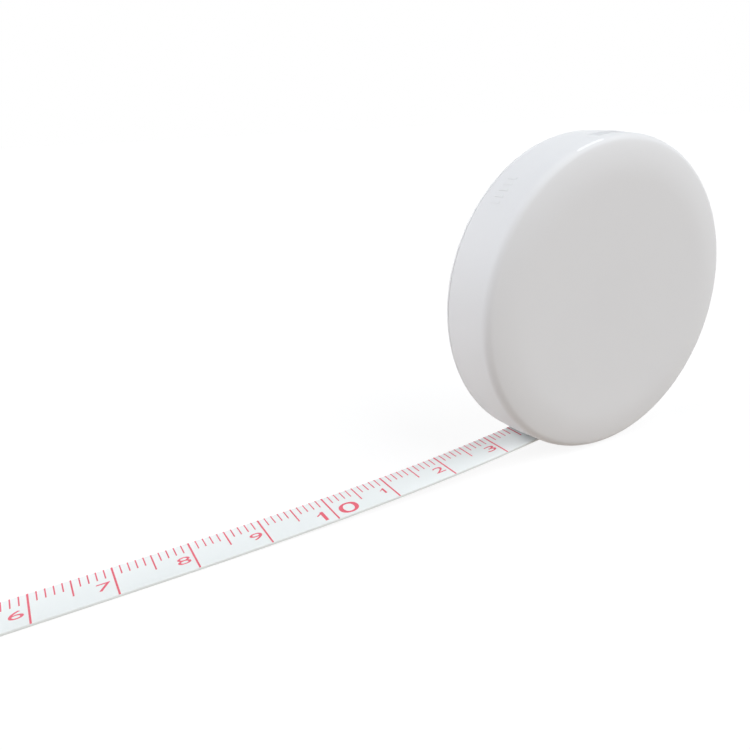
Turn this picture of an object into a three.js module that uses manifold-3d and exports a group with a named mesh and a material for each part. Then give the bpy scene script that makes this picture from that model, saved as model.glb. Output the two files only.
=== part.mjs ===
import * as THREE from 'three';
import { mergeVertices } from 'three/addons/utils/BufferGeometryUtils.js';
import Module from 'manifold-3d';

const wasm = await Module();
wasm.setup();

// A round retractable tape measure that stands on its rim, with a stretch of tape pulled out.
// Sizes are in millimetres. X runs along the pulled tape, which leaves towards -X. Y is the
// drum's axis, with the plain face at -Y and the button at +Y. Z is up, and the origin is on
// the floor under the middle of the case.

// Fits that many pieces share
const fitGap = 0.2;
const runningClearance = 0.25;
const shellJointGap = 0.3;
const cutOverrun = 1;
const facetTurnShare = 0.5;

// Round pieces are many-sided, and each flat lies on the true circle
const caseSides = 72;
const drumSides = 48;
const smallSides = 24;
const pinSides = 12;

// Tape
const tapeLength = 1500;
const tapeOut = 135.9;
const tapeWidth = 6.35;
const tapeThickness = 0.4;
const windingPitch = 0.42;
const windingGap = 0.2;
const tapeSideGap = 0.3;
const tapeWrap = THREE.MathUtils.degToRad(25);
const mouthHeight = 3.5;
const sagReach = 73.7;
const sagSteps = 16;
const wrapSteps = 4;

// Clip on the tape's end, folded from sheet metal round the tape
const clipLength = 9;
const clipWidth = 8.4;
const clipSheet = 0.3;
const clipTapeGap = 0.15;
const clipRamp = 12;
const clipRampSteps = 6;
const clipFoldSteps = 6;
const clipStopGap = 0.6;
const clipRivetRadius = 0.5;
const clipRivetHeadRadius = 1;
const clipRivetHeadHeight = 0.35;
const clipRivetInset = 1.35;
const clipRivetTailRise = 0.05;

// Button and brake
const buttonRadius = 7.5;
const buttonProud = 0.9;
const buttonWall = 1.2;
const buttonRoof = 1.2;
const buttonDish = 0.35;
const buttonDishEdge = 1.3;
const buttonDishBendShare = 0.75;
const buttonEdgeRadius = 0.6;
const buttonClearance = 0.3;
const buttonTravel = 1;
const buttonFlange = 0.7;
const buttonGuideHeight = 0.8;
const collarWall = 1.2;
const collarClearance = 0.3;
const pressClearance = 0.15;
const keyWidth = 1.2;
const keyHeight = 0.5;
const keyCover = 0.7;
const keyCount = 3;
const brakeWidth = 2;
const brakeThickness = 0.6;
const brakeSunk = 0.3;
const brakeGap = 0.1;
const brakeCollarGap = 0.4;
const brakeEdgeClearance = 0.5;
const seatThickness = 0.8;
const seatStep = 0.7;

// Coil spring under the button
const coilWireRadius = 0.25;
const coilHeadGap = 0.6;
const coilEndGap = 0.1;
const coilTurns = 3.5;
const coilStepsPerTurn = 12;
const coilWireSides = 6;

// Arbor, its screw and the retaining washer
const arborTailWidth = 3;
const arborTailLength = 1.5;
const arborShoulder = 0.25;
const arborBossWall = 1.6;
const arborBossHeight = 1;
const arborEndPlay = 0.15;
const journalWall = 0.95;
const screwRadius = 0.8;
const screwHeadRadius = 1.8;
const screwHeadHeight = 0.8;
const screwLength = 2.6;
const screwTipRoom = 0.4;
const screwCrossWidth = 0.5;
const screwCrossDepth = 0.45;
const screwCrossShare = 0.72;
const washerThickness = 0.3;
const washerWidth = 2.6;
const retainerThickness = 0.4;
const retainerLip = 0.7;

// Drum
const hubWall = 1.6;
const webThickness = 0.8;
const flangeThickness = 0.7;
const flangeLip = 0.95;
const drumEndPlay = 0.125;
const spigotHeight = 0.5;
const spigotWall = 0.8;

// Mainspring and the rivet that holds it to the hub with the tape's inner end
const springThickness = 0.3;
const springSideGap = 0.25;
const springTurns = 8;
const springStepsPerTurn = 20;
const springTongueStart = 1.35;
const anchorRivetRadius = 0.5;
const anchorHeadRadius = 1;
const anchorHeadHeight = 0.3;

// Case
const caseWall = 1.4;
const shoulderWidth = 6.9;
const shoulderSlope = THREE.MathUtils.degToRad(20);
const shoulderSteps = 4;
const rimEdgeRadius = 1.2;
const rimEdgeSteps = 4;
const mouthSideGap = 0.45;
const mouthAbove = 1.1;
const mouthBelow = 0.8;
const mouthCutLength = 12;
const lipDepth = 1.6;
const lipWall = 0.9;
const drumRimClearance = 0.4;
const pegRadius = 0.7;
const pegBossRadius = 1.25;
const pegBossSink = 0.1;
const pegRootInset = 0.2;
const pegLength = 2.5;
const pegSocketRoom = 0.5;
const pegAngles = [20, 92, 164, 308].map(THREE.MathUtils.degToRad);
const thumbFlatDepth = 0.6;
const thumbFlatAngle = THREE.MathUtils.degToRad(100.5);
const thumbFlatInset = 1.5;

// Radii, worked out from the button to the rim
const collarInner = buttonRadius + buttonClearance;
const collarOuter = collarInner + collarWall;
const brakeInner = collarOuter + brakeCollarGap;
const brakeOuter = brakeInner + brakeWidth;
const recessRadius = brakeOuter + brakeEdgeClearance;
const seatRecessRadius = recessRadius + seatStep;
const hubRadius = seatRecessRadius + hubWall;
const springRoomRadius = hubRadius - hubWall;
const hubSquare = hubRadius ** 2;
const packRadius = Math.sqrt(hubSquare + ((tapeLength - tapeOut) * windingPitch) / Math.PI);
const fullPackRadius = Math.sqrt(hubSquare + (tapeLength * windingPitch) / Math.PI);
const flangeRadius = fullPackRadius + flangeLip;
const pegCircleRadius = flangeRadius + drumRimClearance + pegBossRadius;
const cavityRadius = pegCircleRadius + pegBossRadius - pegBossSink;
const caseRadius = cavityRadius + caseWall;

// Levels along the drum's axis, worked out from the tape to the faces
const tapeHalf = tapeWidth / 2;
const drumInnerHalf = tapeHalf + tapeSideGap;
const drumHalf = drumInnerHalf + flangeThickness;
const innerFaceY = drumHalf + drumEndPlay + washerThickness;
const faceY = innerFaceY + caseWall;

// Shoulder and rounded rim edge, the same on both faces
const rimEdgeTurn = Math.PI / 2 - shoulderSlope;
const shoulderOuterRadius = caseRadius - rimEdgeRadius * (1 - Math.cos(rimEdgeTurn));
const faceDiscRadius = shoulderOuterRadius - shoulderWidth;
const shoulderArcRadius = shoulderWidth / Math.sin(shoulderSlope);
const shoulderDrop = shoulderArcRadius * (1 - Math.cos(shoulderSlope));
const rimHalfWidth = faceY - shoulderDrop - rimEdgeRadius * Math.sin(rimEdgeTurn);
const frontShellEndY = rimHalfWidth - shellJointGap;

// Brake and button levels at rest, from the drum's rear face inwards
const seatFrontY = drumHalf - seatThickness;
const brakeTopY = seatFrontY - brakeGap;
const brakeBottomY = brakeTopY - brakeThickness;
const buttonFlangeTopY = brakeBottomY + brakeSunk;
const buttonFlangeBottomY = buttonFlangeTopY - buttonFlange;
const buttonTopY = faceY + buttonProud;
const buttonRoofY = buttonTopY - buttonDish - buttonRoof;
const keySlotTopY = faceY - keyCover;
const collarEndY = buttonFlangeTopY + collarClearance;
const webRearY = buttonFlangeBottomY - buttonTravel - pressClearance;
const webFrontY = webRearY - webThickness;

// Arbor levels and radii
const arborBossY = arborBossHeight - innerFaceY;
const arborSocketHalf = arborTailWidth / 2 + fitGap;
const arborSocketCorner = arborSocketHalf * Math.SQRT2;
const arborRadius = arborSocketCorner + arborShoulder;
const arborBossRadius = arborSocketCorner + arborBossWall;
const screwBoreRadius = screwRadius + fitGap;
const journalRadius = screwBoreRadius + journalWall;
const webBoreRadius = journalRadius + runningClearance;
const arborEndY = webRearY + arborEndPlay;
const retainerTopY = arborEndY + retainerThickness;
const coilRadius = screwHeadRadius + coilHeadGap + coilWireRadius;
const retainerRadius = coilRadius + coilWireRadius + retainerLip;

// Mainspring levels
const springFrontY = spigotHeight + springSideGap - drumInnerHalf;
const springRearY = webFrontY - springSideGap;
const springMidY = (springFrontY + springRearY) / 2;
const springEndRadius = springRoomRadius - fitGap - springThickness / 2;
const springStartRadius = arborRadius + fitGap + springThickness / 2;

// The tape's way out: straight from the pack through the mouth, then down to the floor
const strandRadius = packRadius + windingGap + tapeThickness / 2;
const mouthZ = mouthHeight - caseRadius;
const mouthX = -Math.sqrt(caseRadius ** 2 - mouthZ ** 2);
const mouthSlope = Math.atan2(-mouthZ, -mouthX) - Math.asin(strandRadius / caseRadius);
const flatHeight = tapeThickness / 2;
const sagDrop = mouthHeight - flatHeight;
const sagPower = (sagReach * Math.tan(mouthSlope)) / sagDrop;
const clipInnerGap = tapeThickness + 2 * clipTapeGap;
const clipThickness = clipInnerGap + 2 * clipSheet;
const clipMidHeight = clipThickness / 2;
const clipEndX = mouthX - tapeOut;
const clipMouthX = clipEndX + clipLength;
const tapeEndX = clipEndX + clipMidHeight + clipTapeGap;

const root = new THREE.Group();
const caseFrame = new THREE.Group();
caseFrame.position.z = caseRadius;
root.add(caseFrame);

const finishes = {
  caseWhite: { color: 0xe6e6e8, roughness: 0.32, metalness: 0 },
  buttonWhite: { color: 0xdfe0e2, roughness: 0.36, metalness: 0 },
  drumPlastic: { color: 0xc9ccd0, roughness: 0.5, metalness: 0 },
  slipPlastic: { color: 0xf1efe6, roughness: 0.45, metalness: 0 },
  tapeWhite: { color: 0xe9ebe8, roughness: 0.55, metalness: 0 },
  rubber: { color: 0x2b2c2e, roughness: 0.85, metalness: 0 },
  springSteel: { color: 0x8d949c, roughness: 0.28, metalness: 1 },
  brightSteel: { color: 0xc4c7ca, roughness: 0.25, metalness: 1 },
};

function materialFor(finish) {
  return new THREE.MeshStandardMaterial(finishes[finish]);
}

// One closed skin: shared corners merged and triangles without area left out
function skinOf(geometry) {
  const bare = geometry.clone();
  bare.deleteAttribute('normal');
  bare.deleteAttribute('uv');
  const merged = mergeVertices(bare);
  const corners = merged.index.array;
  const kept = [];
  for (let at = 0; at < corners.length; at += 3) {
    const [a, b, c] = corners.slice(at, at + 3);
    if (a !== b && b !== c && c !== a) kept.push(a, b, c);
  }
  merged.setIndex(kept);
  return merged;
}

function solidOf(geometry) {
  const skin = skinOf(geometry);
  return new wasm.Manifold(new wasm.Mesh({
    numProp: 3,
    vertProperties: Float32Array.from(skin.attributes.position.array),
    triVerts: Uint32Array.from(skin.index.array),
  }));
}

function geometryOf(solid) {
  const mesh = solid.getMesh();
  const geometry = new THREE.BufferGeometry();
  geometry.setAttribute('position', new THREE.BufferAttribute(Float32Array.from(mesh.vertProperties), 3));
  geometry.setIndex(Array.from(mesh.triVerts));
  return geometry;
}

function place(name, geometry, finish) {
  const mesh = new THREE.Mesh(skinOf(geometry), materialFor(finish));
  mesh.geometry.computeVertexNormals();
  mesh.name = name;
  caseFrame.add(mesh);
}

function cut(geometry, tools, joins = []) {
  let solid = solidOf(geometry);
  for (const join of joins) solid = solid.add(solidOf(join));
  for (const tool of tools) solid = solid.subtract(solidOf(tool));
  return geometryOf(solid);
}

// Turns an outline of [radius, y] points about the Y axis. The outline either starts and ends
// on the axis or is a loop, and is turned to run the way that makes the faces point out.
function revolve(outline, sides) {
  const closing = outline[0][0] === 0 ? [] : [outline[0]];
  const loop = [...outline, ...closing];
  let area = 0;
  for (let i = 0; i < outline.length; i += 1) {
    const [r0, y0] = outline[i];
    const [r1, y1] = outline[(i + 1) % outline.length];
    area += r0 * y1 - r1 * y0;
  }
  if (area < 0) loop.reverse();
  const growth = 1 / Math.cos(Math.PI / sides);
  const points = loop.map(([r, y]) => new THREE.Vector2(r * growth, y));
  return new THREE.LatheGeometry(points, sides, (facetTurnShare * 2 * Math.PI) / sides);
}

function ring(inner, outer, fromY, toY, sides) {
  return revolve([[inner, fromY], [outer, fromY], [outer, toY], [inner, toY]], sides);
}

function disc(radius, fromY, toY, sides) {
  return revolve([[0, fromY], [radius, fromY], [radius, toY], [0, toY]], sides);
}

// Extrudes an outline of [x, z] points along Y
function extrude(outline, fromY, toY) {
  const shape = new THREE.Shape(outline.map(([x, z]) => new THREE.Vector2(x, z)));
  const geometry = new THREE.ExtrudeGeometry(shape, { depth: toY - fromY, bevelEnabled: false });
  return geometry.rotateX(Math.PI / 2).translate(0, toY, 0);
}

function block(sizeX, sizeY, sizeZ) {
  return new THREE.BoxGeometry(sizeX, sizeY, sizeZ);
}

// A strip's outline from the points of its middle line, half its thickness to each side
function stripOutline(points, thickness) {
  const left = [];
  const right = [];
  points.forEach((point, i) => {
    const before = points[Math.max(i - 1, 0)];
    const after = points[Math.min(i + 1, points.length - 1)];
    const run = Math.hypot(after[0] - before[0], after[1] - before[1]);
    const offX = (-(after[1] - before[1]) / run) * (thickness / 2);
    const offZ = ((after[0] - before[0]) / run) * (thickness / 2);
    left.push([point[0] + offX, point[1] + offZ]);
    right.push([point[0] - offX, point[1] - offZ]);
  });
  return [...left, ...right.reverse()];
}

function polar(radius, angle) {
  return [radius * Math.cos(angle), radius * Math.sin(angle)];
}

// Half of the case's outside, from the middle of a face to the end of its rounded rim edge
function outerOutline() {
  const points = [[0, faceY], [faceDiscRadius, faceY]];
  for (let step = 1; step <= shoulderSteps; step += 1) {
    const turn = (shoulderSlope * step) / shoulderSteps;
    const drop = shoulderArcRadius * (1 - Math.cos(turn));
    points.push([faceDiscRadius + shoulderArcRadius * Math.sin(turn), faceY - drop]);
  }
  for (let step = 1; step <= rimEdgeSteps; step += 1) {
    const turn = rimEdgeTurn * (1 - step / rimEdgeSteps);
    const inset = rimEdgeRadius * (1 - Math.cos(turn));
    points.push([caseRadius - inset, rimHalfWidth + rimEdgeRadius * Math.sin(turn)]);
  }
  return points;
}

// The same half inside, one wall further in, from the rim to the middle
function innerOutline() {
  const arcRadius = shoulderArcRadius - caseWall;
  const lastTurn = Math.asin((cavityRadius - faceDiscRadius) / arcRadius);
  const points = [];
  for (let step = shoulderSteps; step >= 0; step -= 1) {
    const turn = (lastTurn * step) / shoulderSteps;
    const drop = arcRadius * (1 - Math.cos(turn));
    points.push([faceDiscRadius + arcRadius * Math.sin(turn), innerFaceY - drop]);
  }
  points.push([0, innerFaceY]);
  return points;
}

function mirrored(outline) {
  return outline.map(([r, y]) => [r, -y]);
}

function atPegs(makeOne) {
  return pegAngles.map((angle) => {
    const [x, z] = polar(pegCircleRadius, angle);
    return makeOne().translate(x, 0, z);
  });
}

// The slot that the tape leaves by, along the tape's own slope, open to the rear joint
function mouthCut() {
  const height = mouthAbove + mouthBelow;
  const toY = rimHalfWidth + cutOverrun;
  const fromY = -tapeHalf - mouthSideGap;
  const slot = block(mouthCutLength, toY - fromY, height);
  slot.translate(0, (toY + fromY) / 2, (mouthAbove - mouthBelow) / 2);
  return slot.rotateY(-mouthSlope).translate(mouthX, 0, mouthZ);
}

// A flat for the thumb on top of the rim, cut into its front part only
function thumbFlatCut() {
  const width = caseRadius;
  const depth = faceY + cutOverrun - thumbFlatInset;
  const tool = block(width, depth, width);
  const level = caseRadius - thumbFlatDepth + width / 2;
  tool.translate(0, -thumbFlatInset - depth / 2, level);
  return tool.rotateY(Math.PI / 2 - thumbFlatAngle);
}

function buildFrontShell() {
  const outline = [
    ...mirrored(outerOutline()),
    [caseRadius, frontShellEndY],
    [cavityRadius, frontShellEndY],
    ...mirrored(innerOutline()),
  ];
  const bossTopY = rimHalfWidth - lipDepth - shellJointGap;
  const rootY = pegRootInset - innerFaceY;
  const socketY = bossTopY - pegLength - pegSocketRoom;
  const bosses = atPegs(() => disc(pegBossRadius, rootY, bossTopY, smallSides));
  const sockets = atPegs(() => disc(pegRadius + fitGap, socketY, bossTopY + cutOverrun, pinSides));
  const arborBoss = disc(arborBossRadius, -innerFaceY - fitGap, arborBossY, smallSides);
  const socketDepth = arborTailLength + fitGap;
  const arborSocket = block(2 * arborSocketHalf, socketDepth + cutOverrun, 2 * arborSocketHalf);
  arborSocket.translate(0, arborBossY + (cutOverrun - socketDepth) / 2, 0);
  const cuts = [...sockets, arborSocket, mouthCut(), thumbFlatCut()];
  place('front_shell', cut(revolve(outline, caseSides), cuts, [...bosses, arborBoss]), 'caseWhite');
}

function buildRearCover() {
  const lipOuter = cavityRadius - fitGap;
  const lipRootY = rimHalfWidth + shoulderDrop / 2;
  const lipEndY = rimHalfWidth - lipDepth;
  const outline = [...outerOutline(), [cavityRadius, rimHalfWidth], ...innerOutline().slice(1)];
  const lip = cut(ring(lipOuter - lipWall, lipOuter, lipEndY, lipRootY, caseSides), [mouthCut()]);
  const pegTipY = lipEndY - shellJointGap - pegLength;
  const pegs = atPegs(() => disc(pegRadius, pegTipY, innerFaceY - pegRootInset, pinSides));
  const collar = disc(collarOuter, collarEndY, innerFaceY + fitGap, drumSides);
  const bore = disc(collarInner, collarEndY - cutOverrun, faceY + cutOverrun, drumSides);
  const keySlots = keyBlocks(fitGap, collarEndY - cutOverrun, keySlotTopY);
  const cuts = [bore, ...keySlots];
  place('rear_cover', cut(revolve(outline, caseSides), cuts, [lip, collar, ...pegs]), 'caseWhite');
}

// The keys that stop the button turning, or with a gap added the slots that they run in
function keyBlocks(gap, fromY, toY) {
  const reach = buttonRadius + keyHeight + gap;
  return Array.from({ length: keyCount }, (_, i) => {
    const key = block(reach - buttonRadius + buttonWall / 2, toY - fromY, keyWidth + 2 * gap);
    key.translate((reach + buttonRadius - buttonWall / 2) / 2, (toY + fromY) / 2, 0);
    return key.rotateY(Math.PI / 2 + (i * 2 * Math.PI) / keyCount);
  });
}

function buildArbor() {
  const bodyEndY = webFrontY - arborEndPlay;
  const boreEndY = arborEndY - screwLength - screwTipRoom;
  const body = revolve([
    [0, arborBossY],
    [arborRadius, arborBossY],
    [arborRadius, bodyEndY],
    [journalRadius, bodyEndY],
    [journalRadius, arborEndY],
    [screwBoreRadius, arborEndY],
    [screwBoreRadius, boreEndY],
    [0, boreEndY],
  ], smallSides);
  const tail = block(arborTailWidth, arborTailLength + fitGap, arborTailWidth);
  tail.translate(0, arborBossY + (fitGap - arborTailLength) / 2, 0);
  const slotLength = arborRadius - springTongueStart + fitGap + cutOverrun;
  const slotFromY = springFrontY - fitGap;
  const slot = block(slotLength, bodyEndY - slotFromY + cutOverrun, springThickness + 2 * fitGap);
  const slotX = springTongueStart - fitGap + slotLength / 2;
  slot.translate(slotX, (bodyEndY + slotFromY + cutOverrun) / 2, 0);
  const journal = disc(journalRadius, bodyEndY, bodyEndY + 2 * cutOverrun, smallSides);
  place('arbor', cut(body, [cut(slot, [journal])], [tail]), 'brightSteel');
}

function buildScrew() {
  const headTopY = retainerTopY + screwHeadHeight;
  const body = revolve([
    [0, arborEndY - screwLength],
    [screwRadius, arborEndY - screwLength],
    [screwRadius, retainerTopY],
    [screwHeadRadius, retainerTopY],
    [screwHeadRadius, headTopY - screwHeadHeight / 2],
    [screwHeadRadius - screwHeadHeight / 2, headTopY],
    [0, headTopY],
  ], smallSides);
  const crossLength = 2 * screwHeadRadius * screwCrossShare;
  const crossY = headTopY - screwCrossDepth / 2 + cutOverrun / 2;
  const bar = block(crossLength, screwCrossDepth + cutOverrun, screwCrossWidth).translate(0, crossY, 0);
  place('arbor_screw', cut(body, [bar, bar.clone().rotateY(Math.PI / 2)]), 'brightSteel');
}

function buildWashers() {
  const frontInner = arborBossRadius + fitGap;
  const frontTopY = washerThickness - innerFaceY;
  const rearInner = collarOuter + fitGap;
  const rearBottomY = innerFaceY - washerThickness;
  const retainer = ring(screwBoreRadius, retainerRadius, arborEndY, retainerTopY, smallSides);
  const front = ring(frontInner, frontInner + washerWidth, -innerFaceY, frontTopY, drumSides);
  const rear = ring(rearInner, rearInner + washerWidth, rearBottomY, innerFaceY, drumSides);
  place('retaining_washer', retainer, 'brightSteel');
  place('front_washer', front, 'slipPlastic');
  place('rear_washer', rear, 'slipPlastic');
}

// A bore along the X axis for the anchor rivet, between two distances from the drum's axis
function anchorBore(radius, fromX, toX) {
  const bore = disc(radius, fromX, toX, pinSides);
  return bore.rotateZ(-Math.PI / 2).translate(0, springMidY, 0);
}

function buildDrum() {
  const body = revolve([
    [webBoreRadius, webFrontY],
    [springRoomRadius, webFrontY],
    [springRoomRadius, -drumInnerHalf],
    [hubRadius, -drumInnerHalf],
    [hubRadius, drumInnerHalf],
    [flangeRadius, drumInnerHalf],
    [flangeRadius, drumHalf],
    [seatRecessRadius, drumHalf],
    [seatRecessRadius, seatFrontY],
    [recessRadius, seatFrontY],
    [recessRadius, webRearY],
    [webBoreRadius, webRearY],
  ], drumSides);
  const boreRadius = anchorRivetRadius + fitGap;
  const shankBore = anchorBore(boreRadius, springRoomRadius - cutOverrun, hubRadius + cutOverrun);
  place('drum', cut(body, [shankBore]), 'drumPlastic');
}

function buildSpringCover() {
  const spigotOuter = springRoomRadius - fitGap;
  const spigotTopY = spigotHeight - drumInnerHalf;
  const boreRadius = arborBossRadius + runningClearance;
  const cover = revolve([
    [boreRadius, -drumHalf],
    [flangeRadius, -drumHalf],
    [flangeRadius, -drumInnerHalf],
    [spigotOuter, -drumInnerHalf],
    [spigotOuter, spigotTopY],
    [spigotOuter - spigotWall, spigotTopY],
    [spigotOuter - spigotWall, -drumInnerHalf],
    [boreRadius, -drumInnerHalf],
  ], drumSides);
  place('spring_cover', cover, 'drumPlastic');
}

function buildBrakeSeat() {
  const seat = ring(brakeInner, seatRecessRadius - fitGap, seatFrontY, drumHalf, drumSides);
  place('brake_seat_ring', seat, 'brightSteel');
}

// Middle line of the mainspring: a tongue in the arbor's slot, then a spiral out to the hub
function springPoints() {
  const points = [[springTongueStart, 0]];
  const steps = springTurns * springStepsPerTurn;
  for (let step = 0; step <= steps; step += 1) {
    const radius = THREE.MathUtils.lerp(springStartRadius, springEndRadius, step / steps);
    points.push(polar(radius, (-2 * Math.PI * step) / springStepsPerTurn));
  }
  return points;
}

// Room between turns of the spiral, point by point, without the strip's own thickness
function leastTurnGap(points) {
  let least = Infinity;
  for (let i = 1; i + springStepsPerTurn < points.length; i += 1) {
    const next = points[i + springStepsPerTurn];
    const apart = Math.hypot(next[0] - points[i][0], next[1] - points[i][1]);
    least = Math.min(least, apart - springThickness);
  }
  return least;
}

function buildMainspring() {
  const points = springPoints();
  console.log(`mainspring: least gap between turns ${leastTurnGap(points).toFixed(2)} mm`);
  const strip = extrude(stripOutline(points, springThickness), springFrontY, springRearY);
  const bore = anchorBore(anchorRivetRadius + fitGap, springEndRadius - springThickness, springRoomRadius);
  place('mainspring', cut(strip, [bore]), 'springSteel');
}

// Along the rivet: inner head, shank through spring, hub and tape, outer head
function buildAnchorRivet() {
  const innerHeadTop = springEndRadius - springThickness / 2 - fitGap;
  const outerHeadFoot = hubRadius + windingGap + tapeThickness;
  const rivet = revolve([
    [0, innerHeadTop - anchorHeadHeight],
    [anchorHeadRadius, innerHeadTop - anchorHeadHeight],
    [anchorHeadRadius, innerHeadTop],
    [anchorRivetRadius, innerHeadTop],
    [anchorRivetRadius, outerHeadFoot],
    [anchorHeadRadius, outerHeadFoot],
    [anchorHeadRadius, outerHeadFoot + anchorHeadHeight],
    [0, outerHeadFoot + anchorHeadHeight],
  ], pinSides);
  rivet.rotateZ(-Math.PI / 2).translate(0, springMidY, 0);
  place('tape_anchor_rivet', rivet, 'brightSteel');
}

function buildWinding() {
  const inner = hubRadius + windingGap;
  const pack = ring(inner, packRadius, -tapeHalf, tapeHalf, drumSides);
  const pocketEnd = inner + tapeThickness + anchorHeadHeight + fitGap;
  const pocket = anchorBore(anchorHeadRadius + fitGap, hubRadius - cutOverrun, pocketEnd);
  place('tape_winding', cut(pack, [pocket]), 'tapeWhite');
}

// Height of the tape's middle line above the floor, at a distance out from the mouth
function tapeHeight(out) {
  const sag = out < sagReach ? sagDrop * (1 - out / sagReach) ** sagPower : 0;
  const rampStart = mouthX - clipMouthX - clipRamp;
  const ramp = THREE.MathUtils.smoothstep(out, rampStart, rampStart + clipRamp);
  return flatHeight + sag + (clipMidHeight - flatHeight) * ramp;
}

// The free tape's middle line, from where it lies on the pack to its end in the clip
function tapePoints() {
  const leaveAngle = mouthSlope - Math.PI / 2;
  const points = [];
  for (let step = 0; step <= wrapSteps; step += 1) {
    const turn = tapeWrap * (1 - step / wrapSteps);
    points.push(polar(strandRadius, leaveAngle + turn));
  }
  for (let step = 0; step <= sagSteps; step += 1) {
    const out = (sagReach * step) / sagSteps;
    points.push([mouthX - out, tapeHeight(out) - caseRadius]);
  }
  const rampStart = mouthX - clipMouthX - clipRamp;
  for (let step = 0; step <= clipRampSteps; step += 1) {
    const out = rampStart + (clipRamp * step) / clipRampSteps;
    points.push([mouthX - out, tapeHeight(out) - caseRadius]);
  }
  points.push([tapeEndX, clipMidHeight - caseRadius]);
  return points;
}

// The clip's two rivets go through the tape, at the same distance from its two edges
function clipRivetPlaces() {
  const y = tapeHalf - clipRivetInset;
  const x = clipEndX + clipLength / 2;
  return { clip_rivet_left: [x, -y], clip_rivet_right: [x, y] };
}

function clipRivetBores() {
  return Object.values(clipRivetPlaces()).map(([x, y]) => {
    const bore = disc(clipRivetRadius + fitGap, -cutOverrun, clipThickness + cutOverrun, pinSides);
    return bore.rotateX(Math.PI / 2).translate(x, y, -caseRadius);
  });
}

function buildBlade() {
  const strip = extrude(stripOutline(tapePoints(), tapeThickness), -tapeHalf, tapeHalf);
  place('tape_blade', cut(strip, clipRivetBores()), 'tapeWhite');
}

// A sheet folded back on itself round the tape's end
function clipOutline() {
  const foldX = clipEndX + clipMidHeight;
  const outer = [];
  const inner = [];
  for (let step = 0; step <= clipFoldSteps; step += 1) {
    const angle = Math.PI / 2 + (Math.PI * step) / clipFoldSteps;
    outer.push(polar(clipMidHeight, angle));
    inner.push(polar(clipInnerGap / 2, angle));
  }
  const outside = [[clipMouthX - foldX, clipMidHeight], ...outer, [clipMouthX - foldX, -clipMidHeight]];
  const inside = [[clipMouthX - foldX, clipInnerGap / 2], ...inner, [clipMouthX - foldX, -clipInnerGap / 2]];
  const lift = clipMidHeight - caseRadius;
  return [...outside, ...inside.reverse()].map(([x, z]) => [x + foldX, z + lift]);
}

function buildClip() {
  const sheet = extrude(clipOutline(), -clipWidth / 2, clipWidth / 2);
  place('end_clip', cut(sheet, clipRivetBores()), 'brightSteel');
  for (const [name, [x, y]] of Object.entries(clipRivetPlaces())) {
    const rivet = revolve([
      [0, clipRivetTailRise],
      [clipRivetRadius, clipRivetTailRise],
      [clipRivetRadius, clipThickness],
      [clipRivetHeadRadius, clipThickness],
      [clipRivetHeadRadius - clipRivetHeadHeight / 2, clipThickness + clipRivetHeadHeight],
      [0, clipThickness + clipRivetHeadHeight],
    ], pinSides);
    place(name, rivet.rotateX(Math.PI / 2).translate(x, y, -caseRadius), 'brightSteel');
  }
}

function buildButton() {
  const boreRadius = buttonRadius - buttonWall;
  const guideRadius = coilRadius - coilWireRadius - fitGap;
  const dishRadius = buttonRadius - buttonDishEdge;
  const chamfer = buttonEdgeRadius / 2;
  const body = revolve([
    [0, buttonTopY - buttonDish],
    [dishRadius / 2, buttonTopY - buttonDish * buttonDishBendShare],
    [dishRadius, buttonTopY],
    [buttonRadius - buttonEdgeRadius, buttonTopY],
    [buttonRadius - chamfer / 2, buttonTopY - chamfer / 2],
    [buttonRadius, buttonTopY - buttonEdgeRadius],
    [buttonRadius, buttonFlangeTopY],
    [brakeInner - fitGap, buttonFlangeTopY],
    [brakeInner - fitGap, brakeBottomY],
    [brakeOuter, brakeBottomY],
    [brakeOuter, buttonFlangeBottomY],
    [boreRadius, buttonFlangeBottomY],
    [boreRadius, buttonRoofY],
    [guideRadius, buttonRoofY],
    [guideRadius, buttonRoofY - buttonGuideHeight],
    [0, buttonRoofY - buttonGuideHeight],
  ], drumSides);
  const keys = keyBlocks(0, buttonFlangeTopY - brakeSunk / 2, keySlotTopY - fitGap);
  place('push_button', cut(body, [], keys), 'buttonWhite');
  place('brake_ring', ring(brakeInner, brakeOuter, brakeBottomY, brakeTopY, drumSides), 'rubber');
}

class CoilCurve extends THREE.Curve {
  constructor(radius, fromY, toY, turns) {
    super();
    Object.assign(this, { radius, fromY, toY, turns });
  }

  getPoint(share, target = new THREE.Vector3()) {
    const angle = 2 * Math.PI * this.turns * share;
    const y = THREE.MathUtils.lerp(this.fromY, this.toY, share);
    return target.set(this.radius * Math.cos(angle), y, this.radius * Math.sin(angle));
  }
}

function buildButtonSpring() {
  const fromY = retainerTopY + coilEndGap + coilWireRadius;
  const toY = buttonRoofY - coilEndGap - coilWireRadius;
  const wire = new THREE.Shape(Array.from({ length: coilWireSides }, (_, i) => {
    const [x, y] = polar(coilWireRadius, (2 * Math.PI * i) / coilWireSides);
    return new THREE.Vector2(x, y);
  }));
  const coil = new THREE.ExtrudeGeometry(wire, {
    steps: Math.round(coilTurns * coilStepsPerTurn),
    extrudePath: new CoilCurve(coilRadius, fromY, toY, coilTurns),
    bevelEnabled: false,
  });
  place('button_spring', coil, 'springSteel');
}

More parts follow.
